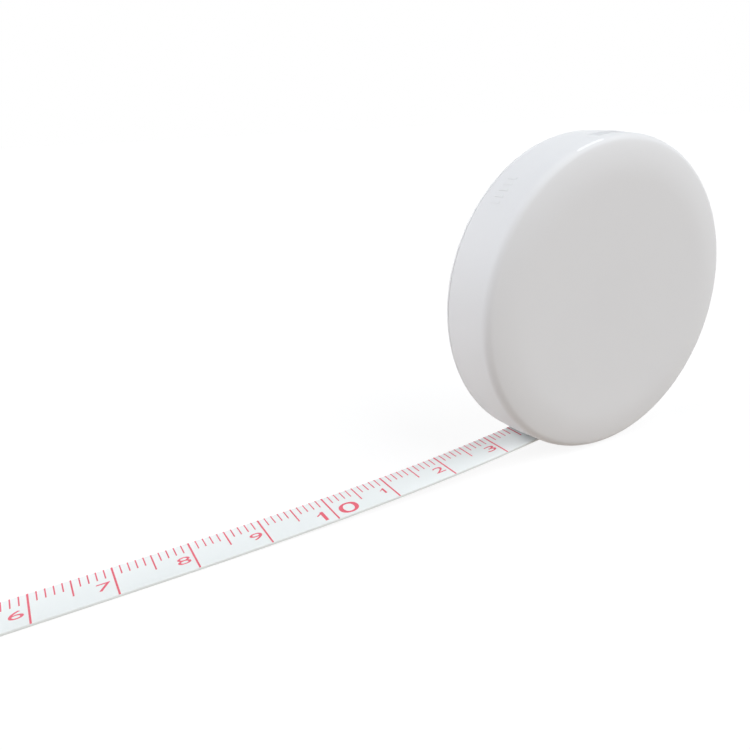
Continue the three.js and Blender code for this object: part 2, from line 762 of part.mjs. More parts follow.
// Tells how far the clip runs back before its upper corner meets the rim, and which way
function reportTravel() {
  const stopZ = mouthZ + clipMidHeight;
  const rimAtStopX = -Math.sqrt(caseRadius ** 2 - stopZ ** 2);
  const stopX = rimAtStopX - clipStopGap;
  const stopHeight = tapeHeight(mouthX - stopX);
  const run = [stopX - clipMouthX, stopHeight - clipMidHeight];
  const stroke = Math.hypot(...run);
  const told = {
    'case radius': caseRadius,
    'face level': faceY,
    'mouth x': mouthX,
    'mouth slope in degrees': THREE.MathUtils.radToDeg(mouthSlope),
    'clip end x': clipEndX,
    'stroke': stroke,
    'stroke along x': run[0] / stroke,
    'stroke along z': run[1] / stroke,
    'tape radius on the drum': strandRadius,
    'drum turn in radians': stroke / strandRadius,
  };
  for (const [name, value] of Object.entries(told)) console.log(`${name} ${value.toFixed(4)}`);
}

buildFrontShell();
buildRearCover();
buildArbor();
buildScrew();
buildWashers();
buildDrum();
buildSpringCover();
buildBrakeSeat();
buildMainspring();
buildAnchorRivet();
buildWinding();
buildBlade();
buildClip();
buildButton();
buildButtonSpring();
reportTravel();

export default root;
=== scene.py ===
"""A round retractable tape measure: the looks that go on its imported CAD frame.

Sizes in the classes are in millimetres, as on a drawing, and Z is measured from the floor. X runs
along the pulled tape, which leaves towards -X. Y is the drum's axis, with the button at +Y.
"""
import logging
import math
from contextlib import contextmanager
from dataclasses import dataclass, replace
from enum import Enum
from typing import Callable, Dict, Iterable, Iterator, List, Optional, Sequence, Tuple

import bpy
from mathutils import Matrix, Vector


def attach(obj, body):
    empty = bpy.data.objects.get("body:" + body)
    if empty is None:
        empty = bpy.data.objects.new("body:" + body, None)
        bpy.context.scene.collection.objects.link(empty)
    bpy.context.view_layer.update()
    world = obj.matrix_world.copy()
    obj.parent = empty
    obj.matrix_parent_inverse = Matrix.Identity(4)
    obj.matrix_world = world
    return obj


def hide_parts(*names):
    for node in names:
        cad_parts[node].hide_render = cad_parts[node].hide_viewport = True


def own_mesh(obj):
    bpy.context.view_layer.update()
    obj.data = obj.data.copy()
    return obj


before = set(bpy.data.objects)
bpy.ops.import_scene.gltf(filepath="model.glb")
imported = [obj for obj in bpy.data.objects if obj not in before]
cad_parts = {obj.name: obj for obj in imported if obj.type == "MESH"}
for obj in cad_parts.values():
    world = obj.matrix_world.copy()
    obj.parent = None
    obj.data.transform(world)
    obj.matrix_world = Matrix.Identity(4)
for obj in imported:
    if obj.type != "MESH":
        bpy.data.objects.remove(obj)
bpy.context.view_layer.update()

log = logging.getLogger("tape_measure")

MM = 0.001  # a millimetre in metres
AXIS_HEIGHT = 25.2043  # the drum's axis over the floor
MOUTH_X = -12.8132  # the case's mouth
MOUTH_HEIGHT = 3.5  # the tape's middle over the floor, at the mouth
MOUTH_SLOPE = 6.9436  # the tape's slope there, in degrees
CLIP_MOUTH_X = -139.7133  # the open end of the tape's clip
CLIP_HEIGHT = 0.65  # the clip's middle over the floor
TAPE_HALF = 0.2  # half the tape's thickness
KEY_ANGLES = (-90.0, 30.0, 150.0)  # the button's keys round the axis, in degrees
OVERRUN = 1.0  # how far a cutting tool goes past the part that it opens
PAINTED_GLINT = "scraped"  # the attribute on the faces that get a painted highlight, a lighter base colour
WHITE = (1.0, 1.0, 1.0, 1.0)
NOISE_ROUGHNESS = 0.55

Point2 = Tuple[float, float]
Point3 = Tuple[float, float, float]
Piece = bpy.types.Object
Socket = bpy.types.NodeSocket


# Workbench: selecting, editing and finishing one piece at a time


def metres(x: float, y: float, z: float) -> Vector:
    """Returns a point given in millimetres as a vector in metres."""
    return Vector((x, y, z)) * MM


def take(piece: Piece) -> None:
    """Selects one object alone and makes it the active one.

    Args:
        piece: the object to select.
    """
    bpy.ops.object.select_all(action="DESELECT")
    piece.select_set(True)
    bpy.context.view_layer.objects.active = piece


@contextmanager
def editing(piece: Piece, elements: str = "VERT") -> Iterator[None]:
    """Opens one object in edit mode with nothing selected, and closes it after.

    Args:
        piece: the object to edit.
        elements: VERT, EDGE or FACE.

    Returns:
        The context, for a with statement.
    """
    take(piece)
    bpy.ops.object.mode_set(mode="EDIT")
    bpy.ops.mesh.select_mode(type=elements)
    bpy.ops.mesh.select_all(action="DESELECT")
    yield
    bpy.ops.object.mode_set(mode="OBJECT")


def select_edges(piece: Piece, wanted: Callable[[Vector, Vector], bool]) -> None:
    """Selects just the edges whose two ends pass a test, and opens edit mode again.

    Args:
        piece: an object in edit mode.
        wanted: takes the two ends in the object's own metres.
    """
    bpy.ops.object.mode_set(mode="OBJECT")
    points = [vertex.co.copy() for vertex in piece.data.vertices]
    for face in piece.data.polygons:
        face.select = False
    for edge in piece.data.edges:
        edge.select = wanted(points[edge.vertices[0]], points[edge.vertices[1]])
    bpy.ops.object.mode_set(mode="EDIT")


def settle(name: str) -> Piece:
    """Names the newest object and puts its place in its mesh, so that it sits at the origin.

    Args:
        name: the object's name.

    Returns:
        The object, unturned and unscaled.
    """
    piece = bpy.context.object
    piece.name = name
    take(piece)
    bpy.ops.object.transform_apply(location=True, rotation=True, scale=True)
    return piece


def finish_modifiers(piece: Piece) -> Piece:
    """Applies every modifier on a piece, in order.

    Args:
        piece: the object that holds the modifiers.

    Returns:
        The same piece.
    """
    take(piece)
    for modifier in list(piece.modifiers):
        bpy.ops.object.modifier_apply(modifier=modifier.name)
    return piece


def merge(first: Piece, others: Iterable[Piece]) -> Piece:
    """Joins other objects into the first.

    Args:
        first: the object that stays.
        others: the objects that it takes in.

    Returns:
        The first object.
    """
    take(first)
    for other in others:
        other.select_set(True)
    bpy.ops.object.join()
    return first


def carve(piece: Piece, tool: Piece, operation: str) -> Piece:
    """Adds or takes away a tool's solid, then throws the tool away.

    Args:
        piece: the object to shape.
        tool: the solid to add or take away.
        operation: UNION or DIFFERENCE.

    Returns:
        The shaped object.
    """
    modifier = piece.modifiers.new(operation.lower(), "BOOLEAN")
    modifier.operation = operation
    modifier.solver = "EXACT"
    modifier.object = tool
    finish_modifiers(piece)
    bpy.data.objects.remove(tool, do_unlink=True)
    return piece


def face_outwards(piece: Piece, weld: float = 0.002) -> Piece:
    """Merges doubled corners and turns every face outwards.

    Args:
        piece: a closed mesh.
        weld: the distance below which two corners are one, in millimetres.

    Returns:
        The same piece.
    """
    with editing(piece):
        bpy.ops.mesh.select_all(action="SELECT")
        bpy.ops.mesh.remove_doubles(threshold=weld * MM)
        bpy.ops.mesh.normals_make_consistent(inside=False)
    return piece


def soften(piece: Piece, angle: float = 32.0) -> Piece:
    """Shades a piece smooth except over its sharper edges.

    Args:
        piece: the object to shade.
        angle: the angle in degrees past which an edge stays sharp.

    Returns:
        The same piece.
    """
    take(piece)
    bpy.ops.object.shade_smooth_by_angle(angle=math.radians(angle))
    return piece


def block(low: Point3, high: Point3, name: str = "block") -> Piece:
    """Adds a block.

    Args:
        low: its lowest corner in millimetres.
        high: its highest corner in millimetres.
        name: its name.

    Returns:
        The block.
    """
    middle = [(a + b) / 2 for a, b in zip(low, high)]
    size = [(b - a) * MM for a, b in zip(low, high)]
    bpy.ops.mesh.primitive_cube_add(size=1, location=metres(*middle), scale=size)
    return settle(name)


def rod(radius: float, start_y: float, end_y: float, sides: int, x: float = 0.0) -> Piece:
    """Adds a rod along Y, level with the drum's axis.

    Args:
        radius: its radius in millimetres.
        start_y: its lower level.
        end_y: its upper level.
        sides: how many sides stand for its roundness.
        x: how far to the side of the drum's axis it stands.

    Returns:
        The rod.
    """
    bpy.ops.mesh.primitive_cylinder_add(
        vertices=sides,
        radius=radius * MM,
        depth=(end_y - start_y) * MM,
        location=metres(x, (start_y + end_y) / 2, AXIS_HEIGHT),
        rotation=(math.pi / 2, 0, 0),
    )
    return settle("rod")


def swing(angle: float, centre: Point3 = (0.0, 0.0, AXIS_HEIGHT), axis: str = "Y") -> None:
    """Turns what is selected.

    Args:
        angle: the turn in degrees, about Y from X towards Z and about Z from X towards -Y.
        centre: the point that stays, in millimetres.
        axis: Y or Z.
    """
    bpy.ops.transform.rotate(
        value=math.radians(angle), orient_axis=axis, center_override=metres(*centre)
    )


def tilt(piece: Piece, angle: float, centre: Point3, axis: str = "Y") -> Piece:
    """Turns a whole piece.

    Args:
        piece: the object to turn.
        angle: the turn in degrees, as for swing.
        centre: the point that stays, in millimetres.
        axis: Y or Z.

    Returns:
        The same piece.
    """
    with editing(piece):
        bpy.ops.mesh.select_all(action="SELECT")
        swing(angle, centre, axis)
    return piece


def shift(piece: Piece, step: Point3) -> Piece:
    """Moves a whole piece's mesh.

    Args:
        piece: the object to move.
        step: how far, in millimetres.

    Returns:
        The same piece.
    """
    with editing(piece):
        bpy.ops.mesh.select_all(action="SELECT")
        bpy.ops.transform.translate(value=metres(*step))
    return piece


def ring_of(piece: Piece, angles: Iterable[float]) -> Piece:
    """Copies a shape that stands at angle 0 to each angle round the drum's axis.

    Args:
        piece: the shape, which holds the whole ring after.
        angles: where the copies stand, in degrees from X towards Z.

    Returns:
        The same piece.
    """
    turned = 0.0
    with editing(piece):
        bpy.ops.mesh.select_all(action="SELECT")
        for count, angle in enumerate(angles):
            if count:
                bpy.ops.mesh.duplicate()
            swing(angle - turned)
            turned = angle
    return piece


def row_of(piece: Piece, places: Sequence[float]) -> Piece:
    """Copies a shape that stands at the first place along X to each of the others.

    Args:
        piece: the shape, which holds the whole row after.
        places: where the copies stand, in millimetres.

    Returns:
        The same piece.
    """
    with editing(piece):
        bpy.ops.mesh.select_all(action="SELECT")
        for last, place in zip(places, places[1:]):
            step = metres(place - last, 0, 0)
            bpy.ops.mesh.duplicate_move(TRANSFORM_OT_translate={"value": step})
    return piece


def arc(centre: Point2, radius: float, start: float, end: float, steps: int) -> List[Point2]:
    """Lays points on an arc, both ends included.

    Args:
        centre: the arc's centre.
        radius: its radius.
        start: the first angle in degrees.
        end: the last angle in degrees.
        steps: how many parts the arc has.

    Returns:
        The points.
    """
    angles = [math.radians(start + (end - start) * i / steps) for i in range(steps + 1)]
    return [(centre[0] + radius * math.cos(a), centre[1] + radius * math.sin(a)) for a in angles]


@dataclass
class Turning:
    """A body turned about the drum's axis, grown ring by ring from one circle.

    Its outline holds the radius and the level along Y of each ring. A bored body's outline comes
    back to its first ring, and any other is closed with a disc at both ends.
    """

    name: str
    outline: Sequence[Point2]
    sides: int
    bored: bool = False

    def make(self) -> Piece:
        """Turns the body.

        Returns:
            The closed piece.
        """
        radius, level = self.outline[0]
        bpy.ops.mesh.primitive_circle_add(
            vertices=self.sides,
            radius=radius * MM,
            fill_type="NOTHING" if self.bored else "NGON",
            location=metres(0, level, AXIS_HEIGHT),
            rotation=(math.pi / 2, 0, 0),
        )
        piece = settle(self.name)
        rest = list(self.outline[1:]) + ([self.outline[0]] if self.bored else [])
        with editing(piece, "EDGE"):
            bpy.ops.mesh.select_all(action="SELECT")
            for next_radius, next_level in rest:
                self.grow(next_level - level, next_radius / radius, next_level)
                radius, level = next_radius, next_level
            if not self.bored:
                bpy.ops.mesh.edge_face_add()
        return face_outwards(piece)

    @staticmethod
    def grow(rise: float, share: float, level: float) -> None:
        """Extrudes the selected ring along Y and resizes it.

        Args:
            rise: how far it goes.
            share: its new radius over its old one.
            level: the level that it comes to.
        """
        step = (0, rise * MM, 0)
        bpy.ops.mesh.extrude_edges_move(TRANSFORM_OT_translate={"value": step})
        bpy.ops.transform.resize(
            value=(share, 1, share), center_override=metres(0, level, AXIS_HEIGHT)
        )


# Finishes: shader node groups for the effects that several materials share


class Wiring:
    """A node tree under construction."""

    def __init__(self, tree: bpy.types.NodeTree) -> None:
        """Takes the tree that the nodes go into."""
        self.tree = tree

    def node(self, kind: str, **settings: object) -> bpy.types.Node:
        """Adds a node.

        Args:
            kind: the node's type, without ShaderNode in front.
            settings: the properties to set on it.

        Returns:
            The node.
        """
        made = self.tree.nodes.new("ShaderNode" + kind)
        for name, value in settings.items():
            setattr(made, name, value)
        return made

    def feed(self, socket: Socket, value: object) -> None:
        """Gives an input its value.

        Args:
            socket: the input.
            value: the output to link to it, or a plain value.
        """
        if isinstance(value, Socket):
            self.tree.links.new(value, socket)
        else:
            socket.default_value = value

    def maths(self, operation: str, first: object, second: object = 0.0) -> Socket:
        """Adds a Math node.

        Args:
            operation: what it does.
            first: its first socket or number.
            second: its second socket or number, if it uses one.

        Returns:
            Its output.
        """
        made = self.node("Math", operation=operation)
        self.feed(made.inputs[0], first)
        self.feed(made.inputs[1], second)
        return made.outputs[0]

    def multiplied(self, vector: Socket, factors: Point3) -> Socket:
        """Multiplies a vector by three factors.

        Args:
            vector: the vector's output.
            factors: one factor for each of its parts.

        Returns:
            The product's output.
        """
        made = self.node("VectorMath", operation="MULTIPLY")
        self.feed(made.inputs[0], vector)
        self.feed(made.inputs[1], factors)
        return made.outputs[0]

    def noise(self, vector: Socket, scale: object, detail: float) -> Socket:
        """Adds a noise texture.

        Args:
            vector: where it is read.
            scale: its scale, as a socket or a number.
            detail: how many finer layers it has.

        Returns:
            Its value.
        """
        made = self.node("TexNoise")
        self.feed(made.inputs["Vector"], vector)
        self.feed(made.inputs["Scale"], scale)
        self.feed(made.inputs["Detail"], detail)
        self.feed(made.inputs["Roughness"], NOISE_ROUGHNESS)
        return made.outputs[0]

    def span(self, value: Socket, low: float, high: float, from_low: float = 0.0) -> Socket:
        """Adds a Map Range node on a value that goes up to 1.

        Args:
            value: the value's output.
            low: the result at the value's lowest.
            high: the result at 1.
            from_low: the value's lowest.

        Returns:
            The result's output.
        """
        made = self.node("MapRange")
        self.feed(made.inputs["Value"], value)
        self.feed(made.inputs["From Min"], from_low)
        self.feed(made.inputs["To Min"], low)
        self.feed(made.inputs["To Max"], high)
        return made.outputs["Result"]

    def mix_colours(self, mask: Socket, first: object, second: object) -> Socket:
        """Mixes two colours over a mask.

        Args:
            mask: 0 for the first and 1 for the second.
            first: a colour's output, or a colour.
            second: the same.

        Returns:
            The mixed colour's output.
        """
        mix = self.node("Mix", data_type="RGBA")
        self.feed(mix.inputs["Factor"], mask)
        self.feed(mix.inputs["A"], first)
        self.feed(mix.inputs["B"], second)
        return mix.outputs["Result"]

    def mix_shaders(self, mask: Socket, first: Socket, second: Socket) -> Socket:
        """Mixes two shaders over a mask.

        Args:
            mask: 0 for the first and 1 for the second.
            first: a shader's output.
            second: the same.

        Returns:
            The mixed shader's output.
        """
        mix = self.node("MixShader")
        for socket, value in zip(mix.inputs, (mask, first, second)):
            self.feed(socket, value)
        return mix.outputs[0]


class Kind(Enum):
    """The inputs that a shader node group can have."""

    VALUE = "NodeSocketFloat"
    VECTOR = "NodeSocketVector"


class Effect(Wiring):
    """A shader node group under construction, with named inputs and outputs."""

    def __init__(self, name: str, inputs: Dict[str, Kind], outputs: Sequence[str]) -> None:
        """Makes the group with its sockets.

        Args:
            name: the group's name.
            inputs: the kind of each input.
            outputs: the names of the outputs, which are all values.
        """
        super().__init__(bpy.data.node_groups.new(name, "ShaderNodeTree"))
        sockets = self.tree.interface
        for label, kind in inputs.items():
            sockets.new_socket(label, in_out="INPUT", socket_type=kind.value)
        for label in outputs:
            sockets.new_socket(label, in_out="OUTPUT", socket_type=Kind.VALUE.value)
        self.inlet = self.tree.nodes.new("NodeGroupInput").outputs
        self.outlet = self.tree.nodes.new("NodeGroupOutput").inputs

    def put_out(self, **values: Socket) -> bpy.types.NodeTree:
        """Links the results to the group's outputs.

        Args:
            values: the results, with _ for a space in the output's name.

        Returns:
            The finished group.
        """
        for name, value in values.items():
            self.feed(self.outlet[name.replace("_", " ")], value)
        return self.tree


@dataclass(frozen=True)
class MouldedSkin:
    """The skin of moulded plastic: fine orange peel, slow ripples and faint cloudiness.

    The coarser patterns' scales are shares of the peel's.
    """

    ripple_share: float = 0.06
    cloud_share: float = 0.02
    handled_share: float = 0.035

    def build(self) -> bpy.types.NodeTree:
        """Builds the group.

        Returns:
            The group, with the outputs Cloud, Height and Handled.
        """
        inputs = {"Vector": Kind.VECTOR, "Peel Scale": Kind.VALUE, "Ripple": Kind.VALUE}
        effect = Effect("moulded_skin", inputs, ("Cloud", "Height", "Handled"))
        vector, scale = effect.inlet["Vector"], effect.inlet["Peel Scale"]
        ripple_scale, cloud_scale, handled_scale = (
            effect.maths("MULTIPLY", scale, share)
            for share in (self.ripple_share, self.cloud_share, self.handled_share)
        )
        slow = effect.noise(vector, ripple_scale, detail=1.0)
        ripple = effect.maths("MULTIPLY", slow, effect.inlet["Ripple"])
        return effect.put_out(
            Cloud=effect.noise(vector, cloud_scale, detail=3.0),
            Height=effect.maths("ADD", effect.noise(vector, scale, detail=2.0), ripple),
            Handled=effect.noise(vector, handled_scale, detail=4.0),
        )


@dataclass(frozen=True)
class DrawnMetal:
    """The fine lines that rolling or drawing leaves in metal, and its faint stains."""

    stretch: Point3 = (0.04, 1.0, 1.0)
    stain_scale: float = 420.0

    def build(self) -> bpy.types.NodeTree:
        """Builds the group.

        Returns:
            The group, with the outputs Lines and Stain.
        """
        inputs = {"Vector": Kind.VECTOR, "Line Scale": Kind.VALUE}
        effect = Effect("drawn_metal", inputs, ("Lines", "Stain"))
        vector = effect.inlet["Vector"]
        drawn_out = effect.multiplied(vector, self.stretch)
        return effect.put_out(
            Lines=effect.noise(drawn_out, effect.inlet["Line Scale"], detail=3.0),
            Stain=effect.noise(vector, self.stain_scale, detail=4.0),
        )


@dataclass(frozen=True)
class CoatedWeave:
    """The glass cloth that shows faintly through a tape's coating."""

    tone_scale: float = 160.0

    def build(self) -> bpy.types.NodeTree:
        """Builds the group.

        Returns:
            The group, with the outputs Threads Height and Tone.
        """
        inputs = {"Vector": Kind.VECTOR, "Threads": Kind.VALUE}
        effect = Effect("coated_weave", inputs, ("Threads Height", "Tone"))
        vector = effect.inlet["Vector"]
        scaled = effect.node("VectorMath", operation="SCALE")
        effect.feed(scaled.inputs[0], vector)
        effect.feed(scaled.inputs["Scale"], effect.inlet["Threads"])
        split = effect.node("SeparateXYZ")
        effect.feed(split.inputs[0], scaled.outputs[0])
        along, across = (effect.maths("SINE", split.outputs[name]) for name in "XY")
        return effect.put_out(
            Threads_Height=effect.maths("MULTIPLY", along, across),
            Tone=effect.noise(vector, self.tone_scale, detail=4.0),
        )


class Workshop:
    """The shared node groups, built once."""

    def __init__(self) -> None:
        """Builds each group."""
        self.skin = MouldedSkin().build()
        self.metal = DrawnMetal().build()
        self.weave = CoatedWeave().build()


class Coat(Wiring):
    """A material under construction round one Principled BSDF."""

    def __init__(self, name: str) -> None:
        """Makes the material with its shader and the piece's own coordinates.

        Args:
            name: the material's name.
        """
        self.material = bpy.data.materials.new(name)
        self.material.use_nodes = True
        super().__init__(self.material.node_tree)
        self.shader = self.tree.nodes["Principled BSDF"].inputs
        self.coordinates = self.node("TexCoord").outputs

    def place(self, group: bpy.types.NodeTree, source: str, **values: float) -> bpy.types.Node:
        """Puts a shared effect in the material.

        Args:
            group: the effect's node group.
            source: the kind of coordinates that it reads.
            values: its own values, with _ for a space in the input's name.

        Returns:
            The effect's node.
        """
        made = self.node("Group", node_tree=group)
        self.feed(made.inputs["Vector"], self.coordinates[source])
        for name, value in values.items():
            self.feed(made.inputs[name.replace("_", " ")], value)
        return made

    def blend_colours(self, mask: Socket, low: Point3, high: Point3) -> None:
        """Runs the base colour from one colour to another.

        Args:
            mask: 0 for the low colour and 1 for the high one.
            low: a colour.
            high: a colour.
        """
        blend = self.mix_colours(mask, (*low, 1), (*high, 1))
        self.feed(self.shader["Base Color"], blend)

    def lighten_scraped(self, colour: Point3) -> None:
        """Paints a highlight: a lighter base colour on the faces that a piece marks for it.

        Args:
            colour: the painted highlight's colour.
        """
        mark = self.node("Attribute", attribute_name=PAINTED_GLINT)
        plain = self.shader["Base Color"].links[0].from_socket
        mixed = self.mix_colours(mark.outputs["Fac"], plain, (*colour, 1))
        self.feed(self.shader["Base Color"], mixed)

    def vary_roughness(self, mask: Socket, low: float, high: float) -> None:
        """Runs the roughness from one value to another over a mask."""
        self.feed(self.shader["Roughness"], self.span(mask, low, high))

    def emboss(self, height: Socket, strength: float, depth: float) -> None:
        """Feeds a height to the normal.

        Args:
            height: the height's output.
            strength: how much of it shows, up to 1.
            depth: how deep it is, in millimetres.
        """
        bump = self.node("Bump")
        self.feed(bump.inputs["Strength"], strength)
        self.feed(bump.inputs["Distance"], depth * MM)
        self.feed(bump.inputs["Height"], height)
        self.feed(self.shader["Normal"], bump.outputs["Normal"])


@dataclass(frozen=True)
class Plastic:
    """Moulded plastic, with a tint that drifts between two colours."""

    name: str
    low: Point3
    high: Point3
    gloss: Point2
    peel_scale: float = 2600.0
    peel_depth: float = 0.004
    relief: float = 0.35
    ripple: float = 6.0
    # a lighter colour painted as a highlight on the faces marked for it, if any
    scraped: Optional[Point3] = None

    def build(self, shop: Workshop) -> bpy.types.Material:
        """Builds the material.

        Args:
            shop: the shared node groups.

        Returns:
            The material.
        """
        coat = Coat(self.name)
        skin = coat.place(shop.skin, "Object", Peel_Scale=self.peel_scale, Ripple=self.ripple)
        coat.blend_colours(skin.outputs["Cloud"], self.low, self.high)
        # painted highlight on the marked faces
        if self.scraped:
            coat.lighten_scraped(self.scraped)
        coat.vary_roughness(skin.outputs["Handled"], *self.gloss)
        coat.emboss(skin.outputs["Height"], self.relief, self.peel_depth)
        return coat.material


@dataclass(frozen=True)
class Metal:
    """Drawn or rolled metal with fine lines along X."""

    name: str
    low: Point3
    high: Point3
    gloss: Point2
    line_scale: float = 5200.0
    line_depth: float = 0.004
    relief: float = 0.2

    def build(self, shop: Workshop) -> bpy.types.Material:
        """Builds the material.

        Args:
            shop: the shared node groups.

        Returns:
            The material.
        """
        coat = Coat(self.name)
        coat.feed(coat.shader["Metallic"], 1.0)
        lines = coat.place(shop.metal, "Object", Line_Scale=self.line_scale)
        coat.blend_colours(lines.outputs["Stain"], self.low, self.high)
        coat.vary_roughness(lines.outputs["Lines"], *self.gloss)
        coat.emboss(lines.outputs["Lines"], self.relief, self.line_depth)
        return coat.material


@dataclass(frozen=True)
class TapeCloth:
    """White coating over glass cloth, for the tape."""

    name: str
    low: Point3
    high: Point3
    gloss: Point2 = (0.42, 0.56)
    threads: float = 14000.0
    thread_depth: float = 0.008
    relief: float = 0.25
    refraction: float = 1.45

    def build(self, shop: Workshop) -> bpy.types.Material:
        """Builds the material.

        Args:
            shop: the shared node groups.

        Returns:
            The material.
        """
        coat = Coat(self.name)
        coat.feed(coat.shader["IOR"], self.refraction)
        weave = coat.place(shop.weave, "UV", Threads=self.threads)
        coat.blend_colours(weave.outputs["Tone"], self.low, self.high)
        coat.vary_roughness(weave.outputs["Tone"], *self.gloss)
        coat.emboss(weave.outputs["Threads Height"], self.relief, self.thread_depth)
        return coat.material


@dataclass(frozen=True)
class WoundTape:
    """The edges of the wound tape, as fine rings about the drum's axis."""

    name: str
    light: Point3
    dark: Point3
    gloss: Point2 = (0.5, 0.62)
    pitch: float = 0.42
    groove: float = 0.03
    relief: float = 0.4
    threads: float = 9000.0

    def build(self, shop: Workshop) -> bpy.types.Material:
        """Builds the material.

        Args:
            shop: the shared node groups.

        Returns:
            The material.
        """
        coat = Coat(self.name)
        centre = coat.node("Mapping")
        coat.feed(centre.inputs["Vector"], coat.coordinates["Object"])
        coat.feed(centre.inputs["Location"], (0, 0, -AXIS_HEIGHT * MM))
        length = coat.node("VectorMath", operation="LENGTH")
        coat.feed(length.inputs[0], coat.multiplied(centre.outputs[0], (1, 0, 1)))
        turn = 2 * math.pi / (self.pitch * MM)
        rings = coat.maths("SINE", coat.maths("MULTIPLY", length.outputs["Value"], turn))
        coat.blend_colours(coat.span(rings, 0.0, 1.0, from_low=-1.0), self.dark, self.light)
        cloth = coat.place(shop.weave, "Object", Threads=self.threads)
        coat.vary_roughness(cloth.outputs["Tone"], *self.gloss)
        coat.emboss(rings, self.relief, self.groove)
        return coat.material


class Finish(Enum):
    """Each finish on the tape measure."""

    CASE = Plastic(
        "case_white",
        (0.745, 0.747, 0.752),
        (0.775, 0.777, 0.780),
        (0.46, 0.55),
        # painted highlight: the lighter colour on the trimmed flats, standing in for a glint
        scraped=(0.89, 0.89, 0.89),
    )
    BUTTON = Plastic("button_white", (0.71, 0.715, 0.72), (0.74, 0.745, 0.75), (0.32, 0.42))
    DRUM = Plastic("drum_plastic", (0.56, 0.58, 0.61), (0.62, 0.64, 0.66), (0.45, 0.6))
    SLIP = Plastic("slip_plastic", (0.82, 0.80, 0.72), (0.86, 0.84, 0.77), (0.4, 0.5))
    RUBBER = Plastic(
        "brake_rubber",
        (0.018, 0.018, 0.02),
        (0.032, 0.032, 0.034),
        (0.75, 0.9),
        peel_scale=1800.0,
        peel_depth=0.012,
    )
    INK = Plastic(
        "red_print",
        (0.68, 0.085, 0.13),
        (0.76, 0.12, 0.17),
        (0.45, 0.6),
        peel_scale=5200.0,
        peel_depth=0.002,
    )
    PLATED = Metal("plated_steel", (0.60, 0.61, 0.62), (0.70, 0.70, 0.70), (0.20, 0.34))
    SPRING = Metal("spring_steel", (0.28, 0.31, 0.35), (0.36, 0.38, 0.41), (0.24, 0.4))
    TAPE = TapeCloth("tape_coating", (0.78, 0.81, 0.79), (0.83, 0.85, 0.84))
    WOUND = WoundTape("wound_tape", (0.80, 0.82, 0.81), (0.50, 0.51, 0.50))


class Paintbox:
    """The built materials, by finish."""

    def __init__(self, shop: Workshop) -> None:
        """Builds each finish once."""
        self.built = {finish: finish.value.build(shop) for finish in Finish}

    def dress(self, piece: Piece, finish: Finish) -> None:
        """Gives the whole piece one finish."""
        piece.data.materials.clear()
        piece.data.materials.append(self.built[finish])


# Case


class Side(Enum):
    """Which half of the case a level belongs to, as its sign along Y."""

    FRONT = -1
    REAR = 1


@dataclass(frozen=True)
class Shoulder:
    """The turn from a flat face to the rim: a wide arc that slopes away, then a tight edge."""

    rim_radius: float
    rim_level: float
    slope: float
    edge_radius: float = 1.2
    arc_steps: int = 14
    edge_steps: int = 10

    @property
    def corner(self) -> Point2:
        """Radius and level of the tight edge's centre."""
        return self.rim_radius - self.edge_radius, self.rim_level

    def reach(self, tilted: float) -> float:
        """Measures how far the tight edge reaches from the case's middle.

        Args:
            tilted: the direction, in degrees off the radius.

        Returns:
            The distance.
        """
        angle = math.radians(tilted)
        radius, level = self.corner
        return radius * math.cos(angle) + level * math.sin(angle) + self.edge_radius

    def outline(self, face_level: float) -> List[Point2]:
        """Draws the outline from the flat disc's edge to the rim, on the +Y side.

        Args:
            face_level: the flat disc's level.

        Returns:
            The radius and level of each point.
        """
        slope = math.radians(self.slope)
        crease = self.rim_radius - self.edge_radius * (1 - math.sin(slope))
        drop = face_level - self.rim_level - self.edge_radius * math.cos(slope)
        width = drop / math.tan(slope / 2)
        sweep = width / math.sin(slope)
        centre = (crease - width, face_level - sweep)
        turned = arc(centre, sweep, 90, 90 - self.slope, self.arc_steps)
        edge = arc(self.corner, self.edge_radius, 90 - self.slope, 0, self.edge_steps)
        return turned + edge[1:]


